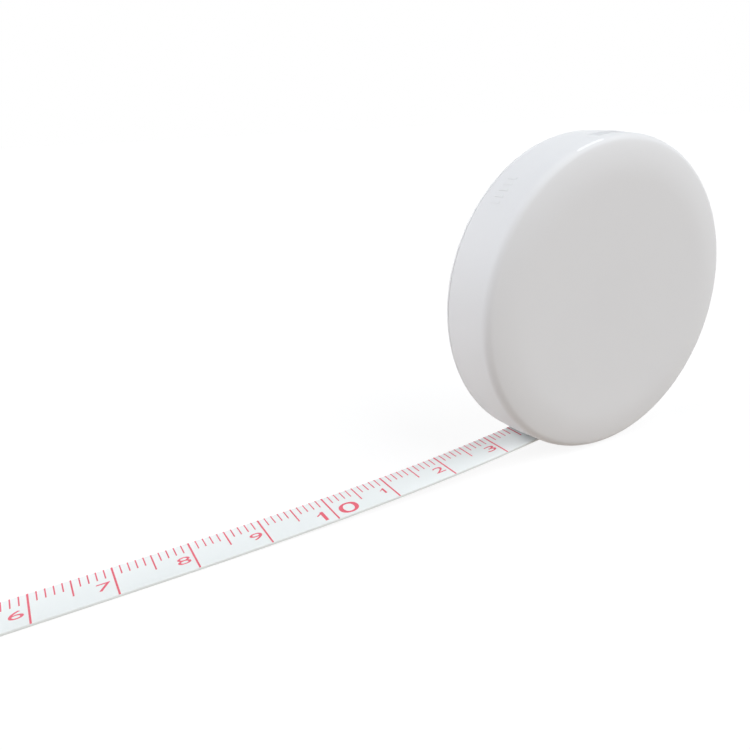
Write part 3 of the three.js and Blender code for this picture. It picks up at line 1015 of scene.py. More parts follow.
@dataclass(frozen=True)
class CaseForm:
    """The case's outside and inside, with the mouth and the pegs that both halves share."""

    radius: float = 25.2043
    face_level: float = 6.0
    disc_radius: float = 17.5147
    inner_sweep: float = 18.7743
    wall: float = 1.4
    sides: int = 288
    arc_steps: int = 14
    joint_level: float = 3.6557
    joint_gap: float = 0.05
    joint_chamfer: float = 0.06
    front: Shoulder = Shoulder(24.9, 3.95, 13.0, 1.45)
    rear: Shoulder = Shoulder(25.2043, 3.6557, 20.0)
    draft_end: float = -0.6
    mouth_above: float = 1.1
    mouth_below: float = 0.8
    mouth_front: float = -3.625
    mouth_reach: float = 6.0
    way_x: Point2 = (-11.2, -7.2)
    way_floor: float = 2.87
    way_slope: float = 2.6
    gap_x: Point2 = (-9.0, 4.0)
    gap_z: Point2 = (1.2, 4.5)
    peg_circle: float = 22.6543
    peg_angles: Tuple[float, ...] = (20.0, 92.0, 164.0, 308.0)

    @property
    def cavity_radius(self) -> float:
        """Radius of the round cavity."""
        return self.radius - self.wall

    @property
    def inner_level(self) -> float:
        """Level of the cavity's flat end."""
        return self.face_level - self.wall

    def outside(self, side: Side) -> List[Point2]:
        """Returns the outline from the flat disc's edge, over the shoulder, to the rim."""
        shoulder = self.front if side is Side.FRONT else self.rear
        return [(r, y * side.value) for r, y in shoulder.outline(self.face_level)]

    def inside(self, side: Side, from_radius: float) -> List[Point2]:
        """Draws the outline of the inner shoulder, in to the flat end.

        Args:
            side: the half of the case.
            from_radius: the radius that it starts at.

        Returns:
            The radius and level of each point.
        """
        reach = math.degrees(math.asin((from_radius - self.disc_radius) / self.inner_sweep))
        centre = (self.disc_radius, self.inner_level - self.inner_sweep)
        turned = arc(centre, self.inner_sweep, 90 - reach, 90, self.arc_steps)
        return [(r, y * side.value) for r, y in turned]

    def at_pegs(self, radius: float, start_y: float, end_y: float, sides: int) -> Piece:
        """Returns a rod at each peg's place, from one level to another, as one tool."""
        return ring_of(rod(radius, start_y, end_y, sides, self.peg_circle), self.peg_angles)

    def mouth_tool(self, rear: float) -> Piece:
        """Makes the block that opens the mouth.

        Args:
            rear: the level where it ends at the rear.

        Returns:
            The tool.
        """
        low = (MOUTH_X - self.mouth_reach, self.mouth_front, MOUTH_HEIGHT - self.mouth_below)
        high = (MOUTH_X + self.mouth_reach, rear, MOUTH_HEIGHT + self.mouth_above)
        return tilt(block(low, high), MOUTH_SLOPE, (MOUTH_X, 0, MOUTH_HEIGHT))

    def way_in(self) -> Piece:
        """Makes the block that lets the wound-in tape pass level behind the mouth's edge.

        Returns:
            The tool.
        """
        start, end = self.way_x
        low = (start, self.mouth_front, self.way_floor)
        high = (end, self.joint_level + OVERRUN, MOUTH_HEIGHT)
        return tilt(block(low, high), -self.way_slope, (start, 0, self.way_floor))

    def lip_gap(self) -> Piece:
        """Makes the block that clears the lip below the drum, for the gathered tape.

        Returns:
            The tool.
        """
        start, end = self.gap_x
        low_z, high_z = self.gap_z
        return block((start, 0, low_z), (end, self.joint_level, high_z))


@dataclass
class FrontShell:
    """The front half of the case with the whole rim, the mouth, four sockets and a boss."""

    form: CaseForm
    face_rings: Tuple[float, ...] = (0.6, 6.0, 12.0)
    boss_radius: float = 1.25
    boss_end: float = 1.7557
    boss_sink: float = 0.2
    boss_sides: int = 40
    socket_radius: float = 0.9
    socket_end: float = -1.2443
    socket_sides: int = 32
    arbor_boss_radius: float = 4.0042
    arbor_boss_level: float = -3.6
    arbor_boss_sides: int = 64
    arbor_socket: float = 3.4
    arbor_socket_depth: float = 1.7
    flat_angles: Tuple[float, ...] = (101.5, 104.2, 106.9, 109.6)
    flat_tilt: float = 40.0
    flat_depth: float = 0.016
    flat_slack: float = 0.001
    flat_facing: float = 0.999
    slot_angle: float = 91.0
    slot_floor: float = 24.5
    slot_sweep: float = 30.0
    slot_levels: Point2 = (-3.7, -1.7)
    slot_sides: int = 360
    rib_angles: Tuple[float, ...] = (129.6, 132.1, 134.6, 137.1, 139.6)
    rib_start: float = -0.5
    rib_end: float = 1.3
    rib_width: float = 0.35
    rib_rise: float = 0.05
    rib_root: float = 0.3

    def make(self) -> Piece:
        """Makes the finished shell.

        Returns:
            The shell, with its trimmed flats marked for a painted highlight.
        """
        shell = self.body()
        carve(shell, self.bosses(), "UNION")
        carve(shell, self.ribs(), "UNION")
        carve(shell, self.openings(), "DIFFERENCE")
        carve(shell, self.form.way_in(), "DIFFERENCE")
        carve(shell, self.slot(), "DIFFERENCE")
        for angle in self.flat_angles:
            carve(shell, self.trimmed_flat(angle), "DIFFERENCE")
        soften(face_outwards(shell))
        # the trimmed flats get a painted highlight
        self.mark_scraped(shell)
        return shell

    def body(self) -> Piece:
        """Turns the plain shell.

        Returns:
            The shell without bosses or openings.
        """
        form = self.form
        joint, chamfer = form.joint_level - form.joint_gap, form.joint_chamfer
        outline = [(radius, -form.face_level) for radius in self.face_rings]
        outline += form.outside(Side.FRONT)
        outline += [
            (form.radius, form.draft_end),
            (form.radius, joint - chamfer),
            (form.radius - chamfer, joint),
            (form.cavity_radius, joint),
        ]
        outline += form.inside(Side.FRONT, form.cavity_radius)
        outline += [(radius, -form.inner_level) for radius in reversed(self.face_rings)]
        return Turning("case_front", outline, form.sides).make()

    def bosses(self) -> Piece:
        """Makes the peg bosses and the arbor's boss.

        Returns:
            All of them as one tool.
        """
        start = self.boss_sink - self.form.inner_level
        foot = -self.form.inner_level - self.boss_sink
        pegs = self.form.at_pegs(self.boss_radius, start, self.boss_end, self.boss_sides)
        sides = self.arbor_boss_sides
        return merge(pegs, [rod(self.arbor_boss_radius, foot, self.arbor_boss_level, sides)])

    def openings(self) -> Piece:
        """Makes the mouth, the peg sockets and the arbor's square socket.

        Returns:
            All of them as one tool.
        """
        half = self.arbor_socket / 2
        low = (-half, self.arbor_boss_level - self.arbor_socket_depth, AXIS_HEIGHT - half)
        high = (half, self.arbor_boss_level + OVERRUN, AXIS_HEIGHT + half)
        end = self.boss_end + OVERRUN
        sockets = self.form.at_pegs(self.socket_radius, self.socket_end, end, self.socket_sides)
        mouth_end = self.form.joint_level + OVERRUN
        return merge(sockets, [block(low, high), self.form.mouth_tool(mouth_end)])

    def ribs(self) -> Piece:
        """Makes the short raised ribs on the rim.

        Returns:
            All of them as one tool.
        """
        radius, half = self.form.radius, self.rib_width / 2
        low = (radius - self.rib_root, self.rib_start, AXIS_HEIGHT - half)
        high = (radius + self.rib_rise, self.rib_end, AXIS_HEIGHT + half)
        return ring_of(block(low, high), self.rib_angles)

    @property
    def flat_offset(self) -> float:
        """Distance from the case's middle to the trimmed flats."""
        return self.form.front.reach(self.flat_tilt) - self.flat_depth

    def trimmed_flat(self, angle: float) -> Piece:
        """Makes the block that trims a small tilted flat on the rim's front edge.

        Args:
            angle: where the flat stands round the rim, in degrees.

        Returns:
            The tool.
        """
        reach = self.flat_offset
        low = (reach, -reach, AXIS_HEIGHT - reach / 2)
        high = (reach * 2, reach, AXIS_HEIGHT + reach / 2)
        tool = tilt(block(low, high), self.flat_tilt, (0, 0, AXIS_HEIGHT), "Z")
        return ring_of(tool, [angle])

    def mark_scraped(self, shell: Piece) -> None:
        """Marks the trimmed flats' faces, which the finish shows lighter as a painted highlight.

        Args:
            shell: the finished shell.
        """
        tilted = math.radians(self.flat_tilt)
        mask = shell.data.attributes.new(PAINTED_GLINT, "FLOAT", "FACE")
        for angle in (math.radians(degrees) for degrees in self.flat_angles):
            radial = Vector((math.cos(angle), 0, math.sin(angle)))
            facing = radial * math.cos(tilted) - Vector((0, math.sin(tilted), 0))
            offset = metres(0, 0, AXIS_HEIGHT).dot(facing) + self.flat_offset * MM
            for face in shell.data.polygons:
                on_flat = abs(face.center.dot(facing) - offset) < self.flat_slack * MM
                if on_flat and face.normal.dot(facing) > self.flat_facing:
                    mask.data[face.index].value = 1.0

    def slot(self) -> Piece:
        """Makes the wide saw blade's shape that cuts the short slot beside the flats.

        Returns:
            The tool.
        """
        start, end = self.slot_levels
        middle = self.slot_floor + self.slot_sweep
        blade = rod(self.slot_sweep, start, end, self.slot_sides, middle)
        return ring_of(blade, [self.slot_angle])


@dataclass
class RearCover:
    """The rear half of the case, with its spigot lip, four pegs and the button's collar."""

    form: CaseForm
    face_rings: Tuple[float, ...] = (10.0, 14.0)
    bore: float = 7.8
    bore_round: float = 0.25
    bore_steps: int = 4
    collar_radius: float = 9.0
    collar_end: float = 3.275
    lip_outer: float = 23.6043
    lip_wall: float = 0.9
    lip_end: float = 2.0557
    peg_radius: float = 0.7
    peg_tip: float = -0.7443
    peg_root: float = 4.4
    peg_sides: int = 32
    key_reach: float = 8.2
    key_width: float = 1.6
    key_top: float = 5.3

    def make(self) -> Piece:
        """Makes the finished cover.

        Returns:
            The cover.
        """
        cover = self.body()
        carve(cover, self.pegs(), "UNION")
        carve(cover, self.openings(), "DIFFERENCE")
        carve(cover, self.form.lip_gap(), "DIFFERENCE")
        return soften(face_outwards(cover))

    def body(self) -> Piece:
        """Turns the plain cover with its lip and collar.

        Returns:
            The cover without pegs or openings.
        """
        form = self.form
        face, rim = form.face_level, form.joint_level
        chamfer = form.joint_chamfer
        lip_inner = self.lip_outer - self.lip_wall
        centre = (self.bore + self.bore_round, face - self.bore_round)
        outline = arc(centre, self.bore_round, 180, 90, self.bore_steps)
        outline += [(radius, face) for radius in self.face_rings]
        outline += form.outside(Side.REAR)[:-1]
        outline += [
            (form.radius, rim + chamfer),
            (form.radius - chamfer, rim),
            (form.cavity_radius, rim),
            (self.lip_outer, rim),
            (self.lip_outer, self.lip_end),
            (lip_inner, self.lip_end),
        ]
        outline += form.inside(Side.REAR, lip_inner)
        outline += [
            (self.collar_radius, form.inner_level),
            (self.collar_radius, self.collar_end),
            (self.bore, self.collar_end),
        ]
        return Turning("case_rear", outline, form.sides, bored=True).make()

    def pegs(self) -> Piece:
        """Returns the four pegs as one tool."""
        return self.form.at_pegs(self.peg_radius, self.peg_tip, self.peg_root, self.peg_sides)

    def openings(self) -> Piece:
        """Makes the three key slots and the mouth's share of the lip.

        Returns:
            All of them as one tool.
        """
        half = self.key_width / 2
        low = (self.bore - OVERRUN, self.collar_end - OVERRUN, AXIS_HEIGHT - half)
        high = (self.key_reach, self.key_top, AXIS_HEIGHT + half)
        slots = ring_of(block(low, high), KEY_ANGLES)
        return merge(self.form.mouth_tool(self.form.joint_level), [slots])


@dataclass
class PushButton:
    """The centre button with its dished top, keys and brake flange.

    The dish is drawn through shares of its radius, closer together towards its rim.
    """

    radius: float = 7.5
    top: float = 6.9
    dish: float = 0.35
    dish_radius: float = 6.2
    dish_shares: Tuple[float, ...] = (0.06, 0.2, 0.36, 0.52, 0.68, 0.82, 0.93, 1.0)
    edge_round: float = 0.6
    edge_steps: int = 8
    seat: float = 2.975
    flange_step: float = 9.2
    flange_sunk: float = 2.675
    flange_radius: float = 11.4
    flange_end: float = 2.275
    bore: float = 6.3
    roof: float = 5.35
    guide_radius: float = 2.2
    guide_end: float = 4.55
    guide_core: float = 0.4
    key_reach: float = 8.0
    key_width: float = 1.2
    key_top: float = 5.1
    key_root: float = 0.6
    key_sink: float = 0.15
    sides: int = 160

    def make(self) -> Piece:
        """Makes the finished button.

        Returns:
            The button.
        """
        cap = Turning("button_cap", self.outline(), self.sides).make()
        carve(cap, self.keys(), "UNION")
        return soften(face_outwards(cap))

    def outline(self) -> List[Point2]:
        """Draws the outline from the middle of the dish to the middle of the guide's end.

        Returns:
            The radius and level of each point.
        """
        points = [
            (self.dish_radius * share, self.top - self.dish * (1 - share * share))
            for share in self.dish_shares
        ]
        centre = (self.radius - self.edge_round, self.top - self.edge_round)
        points += arc(centre, self.edge_round, 90, 0, self.edge_steps)
        points += [
            (self.radius, self.seat),
            (self.flange_step, self.seat),
            (self.flange_step, self.flange_sunk),
            (self.flange_radius, self.flange_sunk),
            (self.flange_radius, self.flange_end),
            (self.bore, self.flange_end),
            (self.bore, self.roof),
            (self.guide_radius, self.roof),
            (self.guide_radius, self.guide_end),
            (self.guide_core, self.guide_end),
        ]
        return points

    def keys(self) -> Piece:
        """Makes the three keys.

        Returns:
            All of them as one tool.
        """
        half = self.key_width / 2
        low = (self.radius - self.key_root, self.seat - self.key_sink, AXIS_HEIGHT - half)
        high = (self.key_reach, self.key_top, AXIS_HEIGHT + half)
        return ring_of(block(low, high), KEY_ANGLES)


@dataclass
class ButtonCoil:
    """The coil spring between the retaining washer and the button's roof."""

    radius: float = 2.65
    wire: float = 0.25
    wire_sides: int = 14
    start: float = 2.025
    end: float = 5.0
    turns: float = 3.5
    steps_each_turn: int = 40
    seat: float = 1.675
    travel: float = 1.0
    smooth_angle: float = 50.0

    def make(self) -> Piece:
        """Spins the coil from a circle of the wire's size.

        Returns:
            The coil.
        """
        bpy.ops.mesh.primitive_circle_add(
            vertices=self.wire_sides,
            radius=self.wire * MM,
            fill_type="NGON",
            location=metres(self.radius, self.start, AXIS_HEIGHT),
        )
        coil = settle("button_coil")
        steps = round(self.turns * self.steps_each_turn)
        rise = (self.end - self.start) * MM / steps
        with editing(coil, "FACE"):
            bpy.ops.mesh.select_all(action="SELECT")
            for _ in range(steps):
                bpy.ops.mesh.extrude_region_move(TRANSFORM_OT_translate={"value": (0, rise, 0)})
                swing(360 * self.turns / steps)
        return soften(face_outwards(coil), self.smooth_angle)

    @property
    def keep(self) -> float:
        """Share of its height that the spring keeps when the button is pressed."""
        return 1 - self.travel / (self.end + self.wire - self.seat)


# Tape


@dataclass(frozen=True)
class TapeCourse:
    """The line that the free tape's middle follows, from its zero mark to the drum."""

    mouth_mark: float = 135.9
    reach: float = 73.7
    half: float = TAPE_HALF
    strand_radius: float = 19.9961
    ramp: float = 12.0
    step: float = 0.5

    def height(self, out: float) -> float:
        """Works out the middle line's height.

        Args:
            out: the distance out from the mouth.

        Returns:
            The height over the floor.
        """
        drop = MOUTH_HEIGHT - self.half
        power = self.reach * math.tan(math.radians(MOUTH_SLOPE)) / drop
        sag = drop * (1 - out / self.reach) ** power if out < self.reach else 0.0
        start = MOUTH_X - CLIP_MOUTH_X - self.ramp
        share = min(max((out - start) / self.ramp, 0.0), 1.0)
        return self.half + sag + (CLIP_HEIGHT - self.half) * share * share * (3 - 2 * share)

    def drum_point(self) -> Point2:
        """Finds where the tape meets the drum.

        Returns:
            The point's x and z.
        """
        angle = math.radians(MOUTH_SLOPE - 90)
        x = self.strand_radius * math.cos(angle)
        return x, AXIS_HEIGHT + self.strand_radius * math.sin(angle)

    def line(self) -> List[Point2]:
        """Draws the middle line, from the zero mark to the drum.

        Returns:
            The x and z of each point.
        """
        out, gone = 0.0, 0.0
        points = [(MOUTH_X, MOUTH_HEIGHT)]
        while gone < self.mouth_mark:
            ahead = (MOUTH_X - out - self.step, self.height(out + self.step))
            length = math.dist(points[-1], ahead)
            share = min(1.0, (self.mouth_mark - gone) / length)
            points.append(tuple(a + (b - a) * share for a, b in zip(points[-1], ahead)))
            gone += length
            out += self.step
        return points[::-1] + [self.drum_point()]

    @property
    def length(self) -> float:
        """Length of the whole line."""
        points = self.line()
        return sum(math.dist(a, b) for a, b in zip(points, points[1:]))

    def at(self, mark: float) -> Point2:
        """Finds a point on the line.

        Args:
            mark: its distance from the zero mark.

        Returns:
            The point's x and z.
        """
        points, gone = self.line(), 0.0
        for a, b in zip(points, points[1:]):
            part = math.dist(a, b)
            if gone + part >= mark:
                share = (mark - gone) / part
                return a[0] + (b[0] - a[0]) * share, a[1] + (b[1] - a[1]) * share
            gone += part
        return points[-1]

    def guide(self) -> Piece:
        """Makes a curve object along the line, for the flat pieces to be bent on.

        Returns:
            The curve object.
        """
        curve = bpy.data.curves.new("tape_course", "CURVE")
        curve.dimensions = "3D"
        curve.twist_mode = "Z_UP"
        line = self.line()
        spline = curve.splines.new("POLY")
        spline.points.add(len(line) - 1)
        for point, (x, z) in zip(spline.points, line):
            point.co = (*metres(x, 0, z), 1)
        guide = bpy.data.objects.new("tape_course", curve)
        bpy.context.scene.collection.objects.link(guide)
        return guide


def bend_on(piece: Piece, guide: Piece) -> Piece:
    """Bends a flat piece along a curve.

    Args:
        piece: the flat piece, whose X becomes the distance along the curve.
        guide: the curve.

    Returns:
        The same piece.
    """
    modifier = piece.modifiers.new("course", "CURVE")
    modifier.object = guide
    modifier.deform_axis = "POS_X"
    return finish_modifiers(piece)


@dataclass
class TapeStrip:
    """A length of tape, modelled flat and then bent along the tape's course."""

    name: str
    start: float
    end: float
    width: float = 6.35
    half: float = TAPE_HALF
    edge_round: float = 0.07
    edge_steps: int = 3
    cuts_each_mm: float = 2.0
    most_cuts: int = 100
    smooth_angle: float = 60.0

    def make(self, guide: Piece) -> Piece:
        """Makes the finished strip.

        Args:
            guide: the curve that it's bent on.

        Returns:
            The strip.
        """
        side = self.width / 2
        low, high = (self.start, -side, -self.half), (self.end, side, self.half)
        strip = block(low, high, self.name)
        cuts = min(round((self.end - self.start) * self.cuts_each_mm), self.most_cuts)
        with editing(strip, "EDGE"):
            select_edges(strip, self.runs_along)
            bpy.ops.mesh.bevel(
                offset=self.edge_round * MM, segments=self.edge_steps, affect="EDGES"
            )
            select_edges(strip, self.runs_along)
            bpy.ops.mesh.subdivide(number_cuts=cuts)
        self.lay_flat_map(strip)
        return soften(bend_on(strip, guide), self.smooth_angle)

    @staticmethod
    def runs_along(first: Vector, second: Vector) -> bool:
        """Tells whether an edge between two points runs along the tape."""
        return abs(first.x - second.x) > MM

    @staticmethod
    def lay_flat_map(strip: Piece) -> None:
        """Gives the flat strip a UV map in metres along and across the tape.

        Args:
            strip: the strip, still flat.
        """
        layer = strip.data.uv_layers.new(name="tape_flat")
        strip.data.uv_layers.active = layer
        layer.active_render = True
        for loop in strip.data.loops:
            spot = strip.data.vertices[loop.vertex_index].co
            layer.data[loop.index].uv = (spot.x, spot.y)


class Mark(Enum):
    """The printed lines, as how far each reaches from the far edge and how wide it is."""

    MILLIMETRE = (2.04, 0.17)
    HALF = (3.66, 0.20)
    CENTIMETRE = (6.33, 0.25)


@dataclass(frozen=True)
class Numeral:
    """One printed figure: its middle along and across the tape, and its size.

    The place along is from the zero mark, or from the figure's own line in a pattern for more.
    The weight is the stem's width, which only the figure 1 uses.
    """

    text: str
    along: float
    across: float
    width: float
    height: float
    weight: float = 0.0

    def placed(self, text: str, line: float) -> "Numeral":
        """Returns this pattern's figure with a text of its own, beside a line."""
        return replace(self, text=text, along=line + self.along)


@dataclass
class TapePrint:
    """The printed scale between two marks: lines at each millimetre and figures.

    The flag of the figure 1 is sized and placed in shares of its width and its weight. Text is
    made one metre thick and then pressed to the print's own thickness.
    """

    name: str
    start: int
    end: int
    far_edge: float = 3.165
    surface: float = TAPE_HALF
    sunk: float = 0.01
    proud: float = 0.012
    weld: float = 0.0005
    small: Numeral = Numeral("2", -1.45, -0.57, 1.74, 1.66)
    small_one: Numeral = Numeral("1", -1.45, -0.47, 0.8, 1.45, 0.30)
    tens: Numeral = Numeral("1", -1.87, -1.33, 1.15, 2.42, 0.50)
    tens_zero: Numeral = Numeral("0", 2.4, -1.33, 2.98, 2.72)
    room: float = 1.0
    tens_room: float = 4.0
    flag_reach: float = 1.08
    flag_weight: float = 0.46
    flag_turn: float = 34.0
    flag_inset: Point2 = (0.30, 0.04)
    flag_below: float = 0.002
    text_steps: int = 6
    text_half: float = 0.5

    def make(self, guide: Piece) -> Piece:
        """Makes the finished print.

        Args:
            guide: the curve that it's bent on.

        Returns:
            The print.
        """
        made = [self.lines(mark) for mark in Mark] + self.figures()
        scale = merge(made[0], made[1:])
        scale.name = self.name
        return face_outwards(bend_on(scale, guide), self.weld)

    def places(self, mark: Mark) -> List[int]:
        """Lists where a kind of line stands.

        Args:
            mark: the kind of line.

        Returns:
            The marks in millimetres.
        """
        every = range(self.start, self.end)
        if mark is Mark.CENTIMETRE:
            return [place for place in every if place % 10 == 0]
        if mark is Mark.HALF:
            return [place for place in every if place % 10 == 5]
        return [place for place in every if place % 5]

    def lines(self, mark: Mark) -> Piece:
        """Makes all the printed lines of one kind.

        Args:
            mark: the kind of line.

        Returns:
            The lines as one piece.
        """
        places = self.places(mark)
        reach, width = mark.value
        low = (places[0] - width / 2, self.far_edge - reach, self.surface - self.sunk)
        high = (places[0] + width / 2, self.far_edge, self.surface + self.proud)
        return row_of(block(low, high), places)

    def figures(self) -> List[Piece]:
        """Makes the printed figures, each kind of them once and then copied along.

        Returns:
            A piece for each kind.
        """
        kinds: Dict[Numeral, List[float]] = {}
        for numeral in self.numerals():
            kinds.setdefault(replace(numeral, along=0.0), []).append(numeral.along)
        return [
            row_of(self.figure(replace(kind, along=places[0])), places)
            for kind, places in kinds.items()
        ]

    def numerals(self) -> List[Numeral]:
        """Lists the figures between the two marks, which start again after each tenth.

        Returns:
            The figures at their places.
        """
        made = []
        for centimetre in range(self.start // 10, self.end // 10 + 1):
            line = centimetre * 10
            tens, units = divmod(centimetre, 10)
            room = self.room if units else self.tens_room
            if not self.start + self.room <= line + self.small.along < self.end - room:
                continue
            if units:
                pattern = self.small_one if units == 1 else self.small
                made.append(pattern.placed(str(units), line))
            else:
                made.append(self.tens.placed(str(tens), line))
                made.append(self.tens_zero.placed("0", line))
        return made

    def one(self, numeral: Numeral) -> Piece:
        """Makes the figure 1 as a heavy stem with a thin slanting flag.

        Args:
            numeral: its place and size.

        Returns:
            The figure.
        """
        low_z, high_z = self.surface - self.sunk, self.surface + self.proud
        weight = numeral.weight
        right = numeral.along + numeral.width / 2
        top = numeral.across + numeral.height / 2
        stem = block((right - weight, top - numeral.height, low_z), (right, top, high_z))
        low = (-numeral.width * self.flag_reach, -weight * self.flag_weight, low_z)
        flag = block(low, (0, 0, high_z - self.flag_below))
        tilt(flag, -self.flag_turn, (0, 0, 0), "Z")
        inset_x, inset_y = self.flag_inset
        shift(flag, (right - weight * inset_x, top - weight * inset_y, 0))
        return merge(stem, [flag])

    def figure(self, numeral: Numeral) -> Piece:
        """Makes one printed figure from text, sized to its place.

        Args:
            numeral: its text, place and size.

        Returns:
            The figure.
        """
        if numeral.text == "1":
            return self.one(numeral)
        bpy.ops.object.select_all(action="DESELECT")
        bpy.ops.object.text_add(location=(0, 0, 0))
        text = bpy.context.object
        text.data.body = numeral.text
        text.data.resolution_u = self.text_steps
        text.data.extrude = self.text_half
        take(text)
        bpy.ops.object.convert(target="MESH")
        piece = bpy.context.object
        xs = [vertex.co.x for vertex in piece.data.vertices]
        ys = [vertex.co.y for vertex in piece.data.vertices]
        size = (max(xs) - min(xs), max(ys) - min(ys))
        middle = Vector(((max(xs) + min(xs)) / 2, (max(ys) + min(ys)) / 2, 0))
        depth = (self.sunk + self.proud) / (2 * self.text_half)
        level = self.surface + (self.proud - self.sunk) / 2
        stretch = (numeral.width * MM / size[0], numeral.height * MM / size[1], depth * MM)
        with editing(piece):
            bpy.ops.mesh.select_all(action="SELECT")
            bpy.ops.transform.translate(value=-middle)
            bpy.ops.transform.resize(value=stretch, center_override=(0, 0, 0))
            bpy.ops.transform.translate(value=metres(numeral.along, numeral.across, level))
        return piece


@dataclass
class EndClip:
    """The metal clip folded round the tape's end, with its two rivets."""

    end_x: float = -148.7133
    width: float = 8.4
    sheet: float = 0.3
    inner_gap: float = 0.7
    fold_steps: int = 12
    corner: float = 0.9
    corner_steps: int = 6
    corner_slack: float = 0.01
    edge_round: float = 0.05
    edge_steps: int = 2
    edge_angle: float = 50.0
    bore_radius: float = 0.7
    bore_depth: float = 4.0
    bore_sides: int = 32
    rivet_inset: float = 1.825
    rivet_radius: float = 1.0
    rivet_shank: float = 0.5
    rivet_sides: int = 40
    rivet_rise: float = 0.35
    rivet_foot: float = 0.05
    dome_angles: Tuple[float, ...] = (0.0, 15.0, 30.0, 45.0, 60.0, 75.0, 86.0)
    smooth_angle: float = 40.0

    @property
    def rivet_x(self) -> float:
        """Middle of the two rivets along the tape."""
        return (self.end_x + CLIP_MOUTH_X) / 2

    def make(self) -> Piece:
        """Bends the clip up from a flat sheet.

        Returns:
            The clip.
        """
        bpy.ops.mesh.primitive_plane_add(size=1, location=(0, 0, 0))
        clip = settle("clip_body")
        line = self.side_line()
        half = self.width / 2
        with editing(clip, "EDGE"):
            select_edges(clip, lambda a, b: a.x < 0 and b.x < 0)
            for _ in line[2:]:
                bpy.ops.mesh.extrude_edges_move(TRANSFORM_OT_translate={"value": (-1, 0, 0)})
        columns = sorted({round(vertex.co.x, 4) for vertex in clip.data.vertices}, reverse=True)
        for vertex in clip.data.vertices:
            x, z = line[columns.index(round(vertex.co.x, 4))]
            vertex.co = metres(x, half if vertex.co.y > 0 else -half, z)
        self.round_corners(clip)
        self.thicken(clip)
        carve(clip, self.bores(), "DIFFERENCE")
        return soften(face_outwards(clip), self.smooth_angle)

    def side_line(self) -> List[Point2]:
        """Draws the middle of the sheet as seen from the side, from one mouth edge to the other.

        Returns:
            The x and z of each point.
        """
        radius = (self.inner_gap + self.sheet) / 2
        centre = (self.end_x + CLIP_HEIGHT, CLIP_HEIGHT)
        fold = arc(centre, radius, 90, 270, self.fold_steps)
        return [
            (CLIP_MOUTH_X, CLIP_HEIGHT + radius),
            *fold,
            (CLIP_MOUTH_X, CLIP_HEIGHT - radius),
        ]

    def round_corners(self, clip: Piece) -> None:
        """Rounds the sheet's four free corners while it's still thin.

        Args:
            clip: the bent sheet.
        """
        with editing(clip, "VERT"):
            bpy.ops.object.mode_set(mode="OBJECT")
            for vertex in clip.data.vertices:
                vertex.select = vertex.co.x > (CLIP_MOUTH_X - self.corner_slack) * MM
            bpy.ops.object.mode_set(mode="EDIT")
            bpy.ops.mesh.bevel(
                offset=self.corner * MM, segments=self.corner_steps, affect="VERTICES"
            )

    def thicken(self, clip: Piece) -> None:
        """Gives the sheet its thickness and softens its cut edges.

        Args:
            clip: the bent sheet.
        """
        with editing(clip, "FACE"):
            bpy.ops.mesh.select_all(action="SELECT")
            bpy.ops.mesh.normals_make_consistent(inside=False)
        wall = clip.modifiers.new("wall", "SOLIDIFY")
        wall.thickness = self.sheet * MM
        wall.offset = 0
        wall.use_even_offset = True
        edge = clip.modifiers.new("edge", "BEVEL")
        edge.width = self.edge_round * MM
        edge.segments = self.edge_steps
        edge.limit_method = "ANGLE"
        edge.angle_limit = math.radians(self.edge_angle)
        finish_modifiers(clip)

    def bores(self) -> Piece:
        """Makes the two rivet holes.

        Returns:
            Both as one tool.
        """
        bpy.ops.mesh.primitive_cylinder_add(
            vertices=self.bore_sides,
            radius=self.bore_radius * MM,
            depth=self.bore_depth * MM,
            location=metres(self.rivet_x, -self.rivet_inset, CLIP_HEIGHT),
        )
        bores = settle("rivet_bores")
        with editing(bores):
            bpy.ops.mesh.select_all(action="SELECT")
            step = metres(0, 2 * self.rivet_inset, 0)
            bpy.ops.mesh.duplicate_move(TRANSFORM_OT_translate={"value": step})
        return bores

    def rivets(self) -> Tuple[Piece, Piece]:
        """Makes the two rivets, each with its own mesh.

        Returns:
            The near rivet, and a copy of it at the far side.
        """
        near = self.rivet()
        take(near)
        bpy.ops.object.duplicate(linked=False)
        far = bpy.context.object
        far.name = "clip_rivet_far"
        return near, shift(far, (0, 2 * self.rivet_inset, 0))

    def rivet(self) -> Piece:
        """Makes the near rivet with its domed head.

        Returns:
            The rivet.
        """
        y = -self.rivet_inset
        top = CLIP_HEIGHT + self.inner_gap / 2 + self.sheet
        radius, level = self.rivet_shank, self.rivet_foot
        bpy.ops.mesh.primitive_circle_add(
            vertices=self.rivet_sides,
            radius=radius * MM,
            fill_type="NGON",
            location=metres(self.rivet_x, y, level),
        )
        rivet = settle("clip_rivet_near")
        dome = [
            (self.rivet_radius * math.cos(a), top + self.rivet_rise * math.sin(a))
            for a in (math.radians(d) for d in self.dome_angles)
        ]
        with editing(rivet, "EDGE"):
            bpy.ops.mesh.select_all(action="SELECT")
            for next_radius, next_level in [(radius, top), *dome]:
                step = (0, 0, (next_level - level) * MM)
                bpy.ops.mesh.extrude_edges_move(TRANSFORM_OT_translate={"value": step})
                share = next_radius / radius
                bpy.ops.transform.resize(
                    value=(share, share, 1),
                    center_override=metres(self.rivet_x, y, next_level),
                )
                radius, level = next_radius, next_level
            bpy.ops.mesh.edge_face_add()
        return soften(face_outwards(rivet), self.smooth_angle)


# Assembly


def report(piece: Piece) -> None:
    """Logs a piece's name, size in millimetres and number of faces."""
    size = " x ".join(f"{length / MM:.2f}" for length in piece.dimensions)
    log.info("%s: %s mm, %d faces", piece.name, size, len(piece.data.polygons))


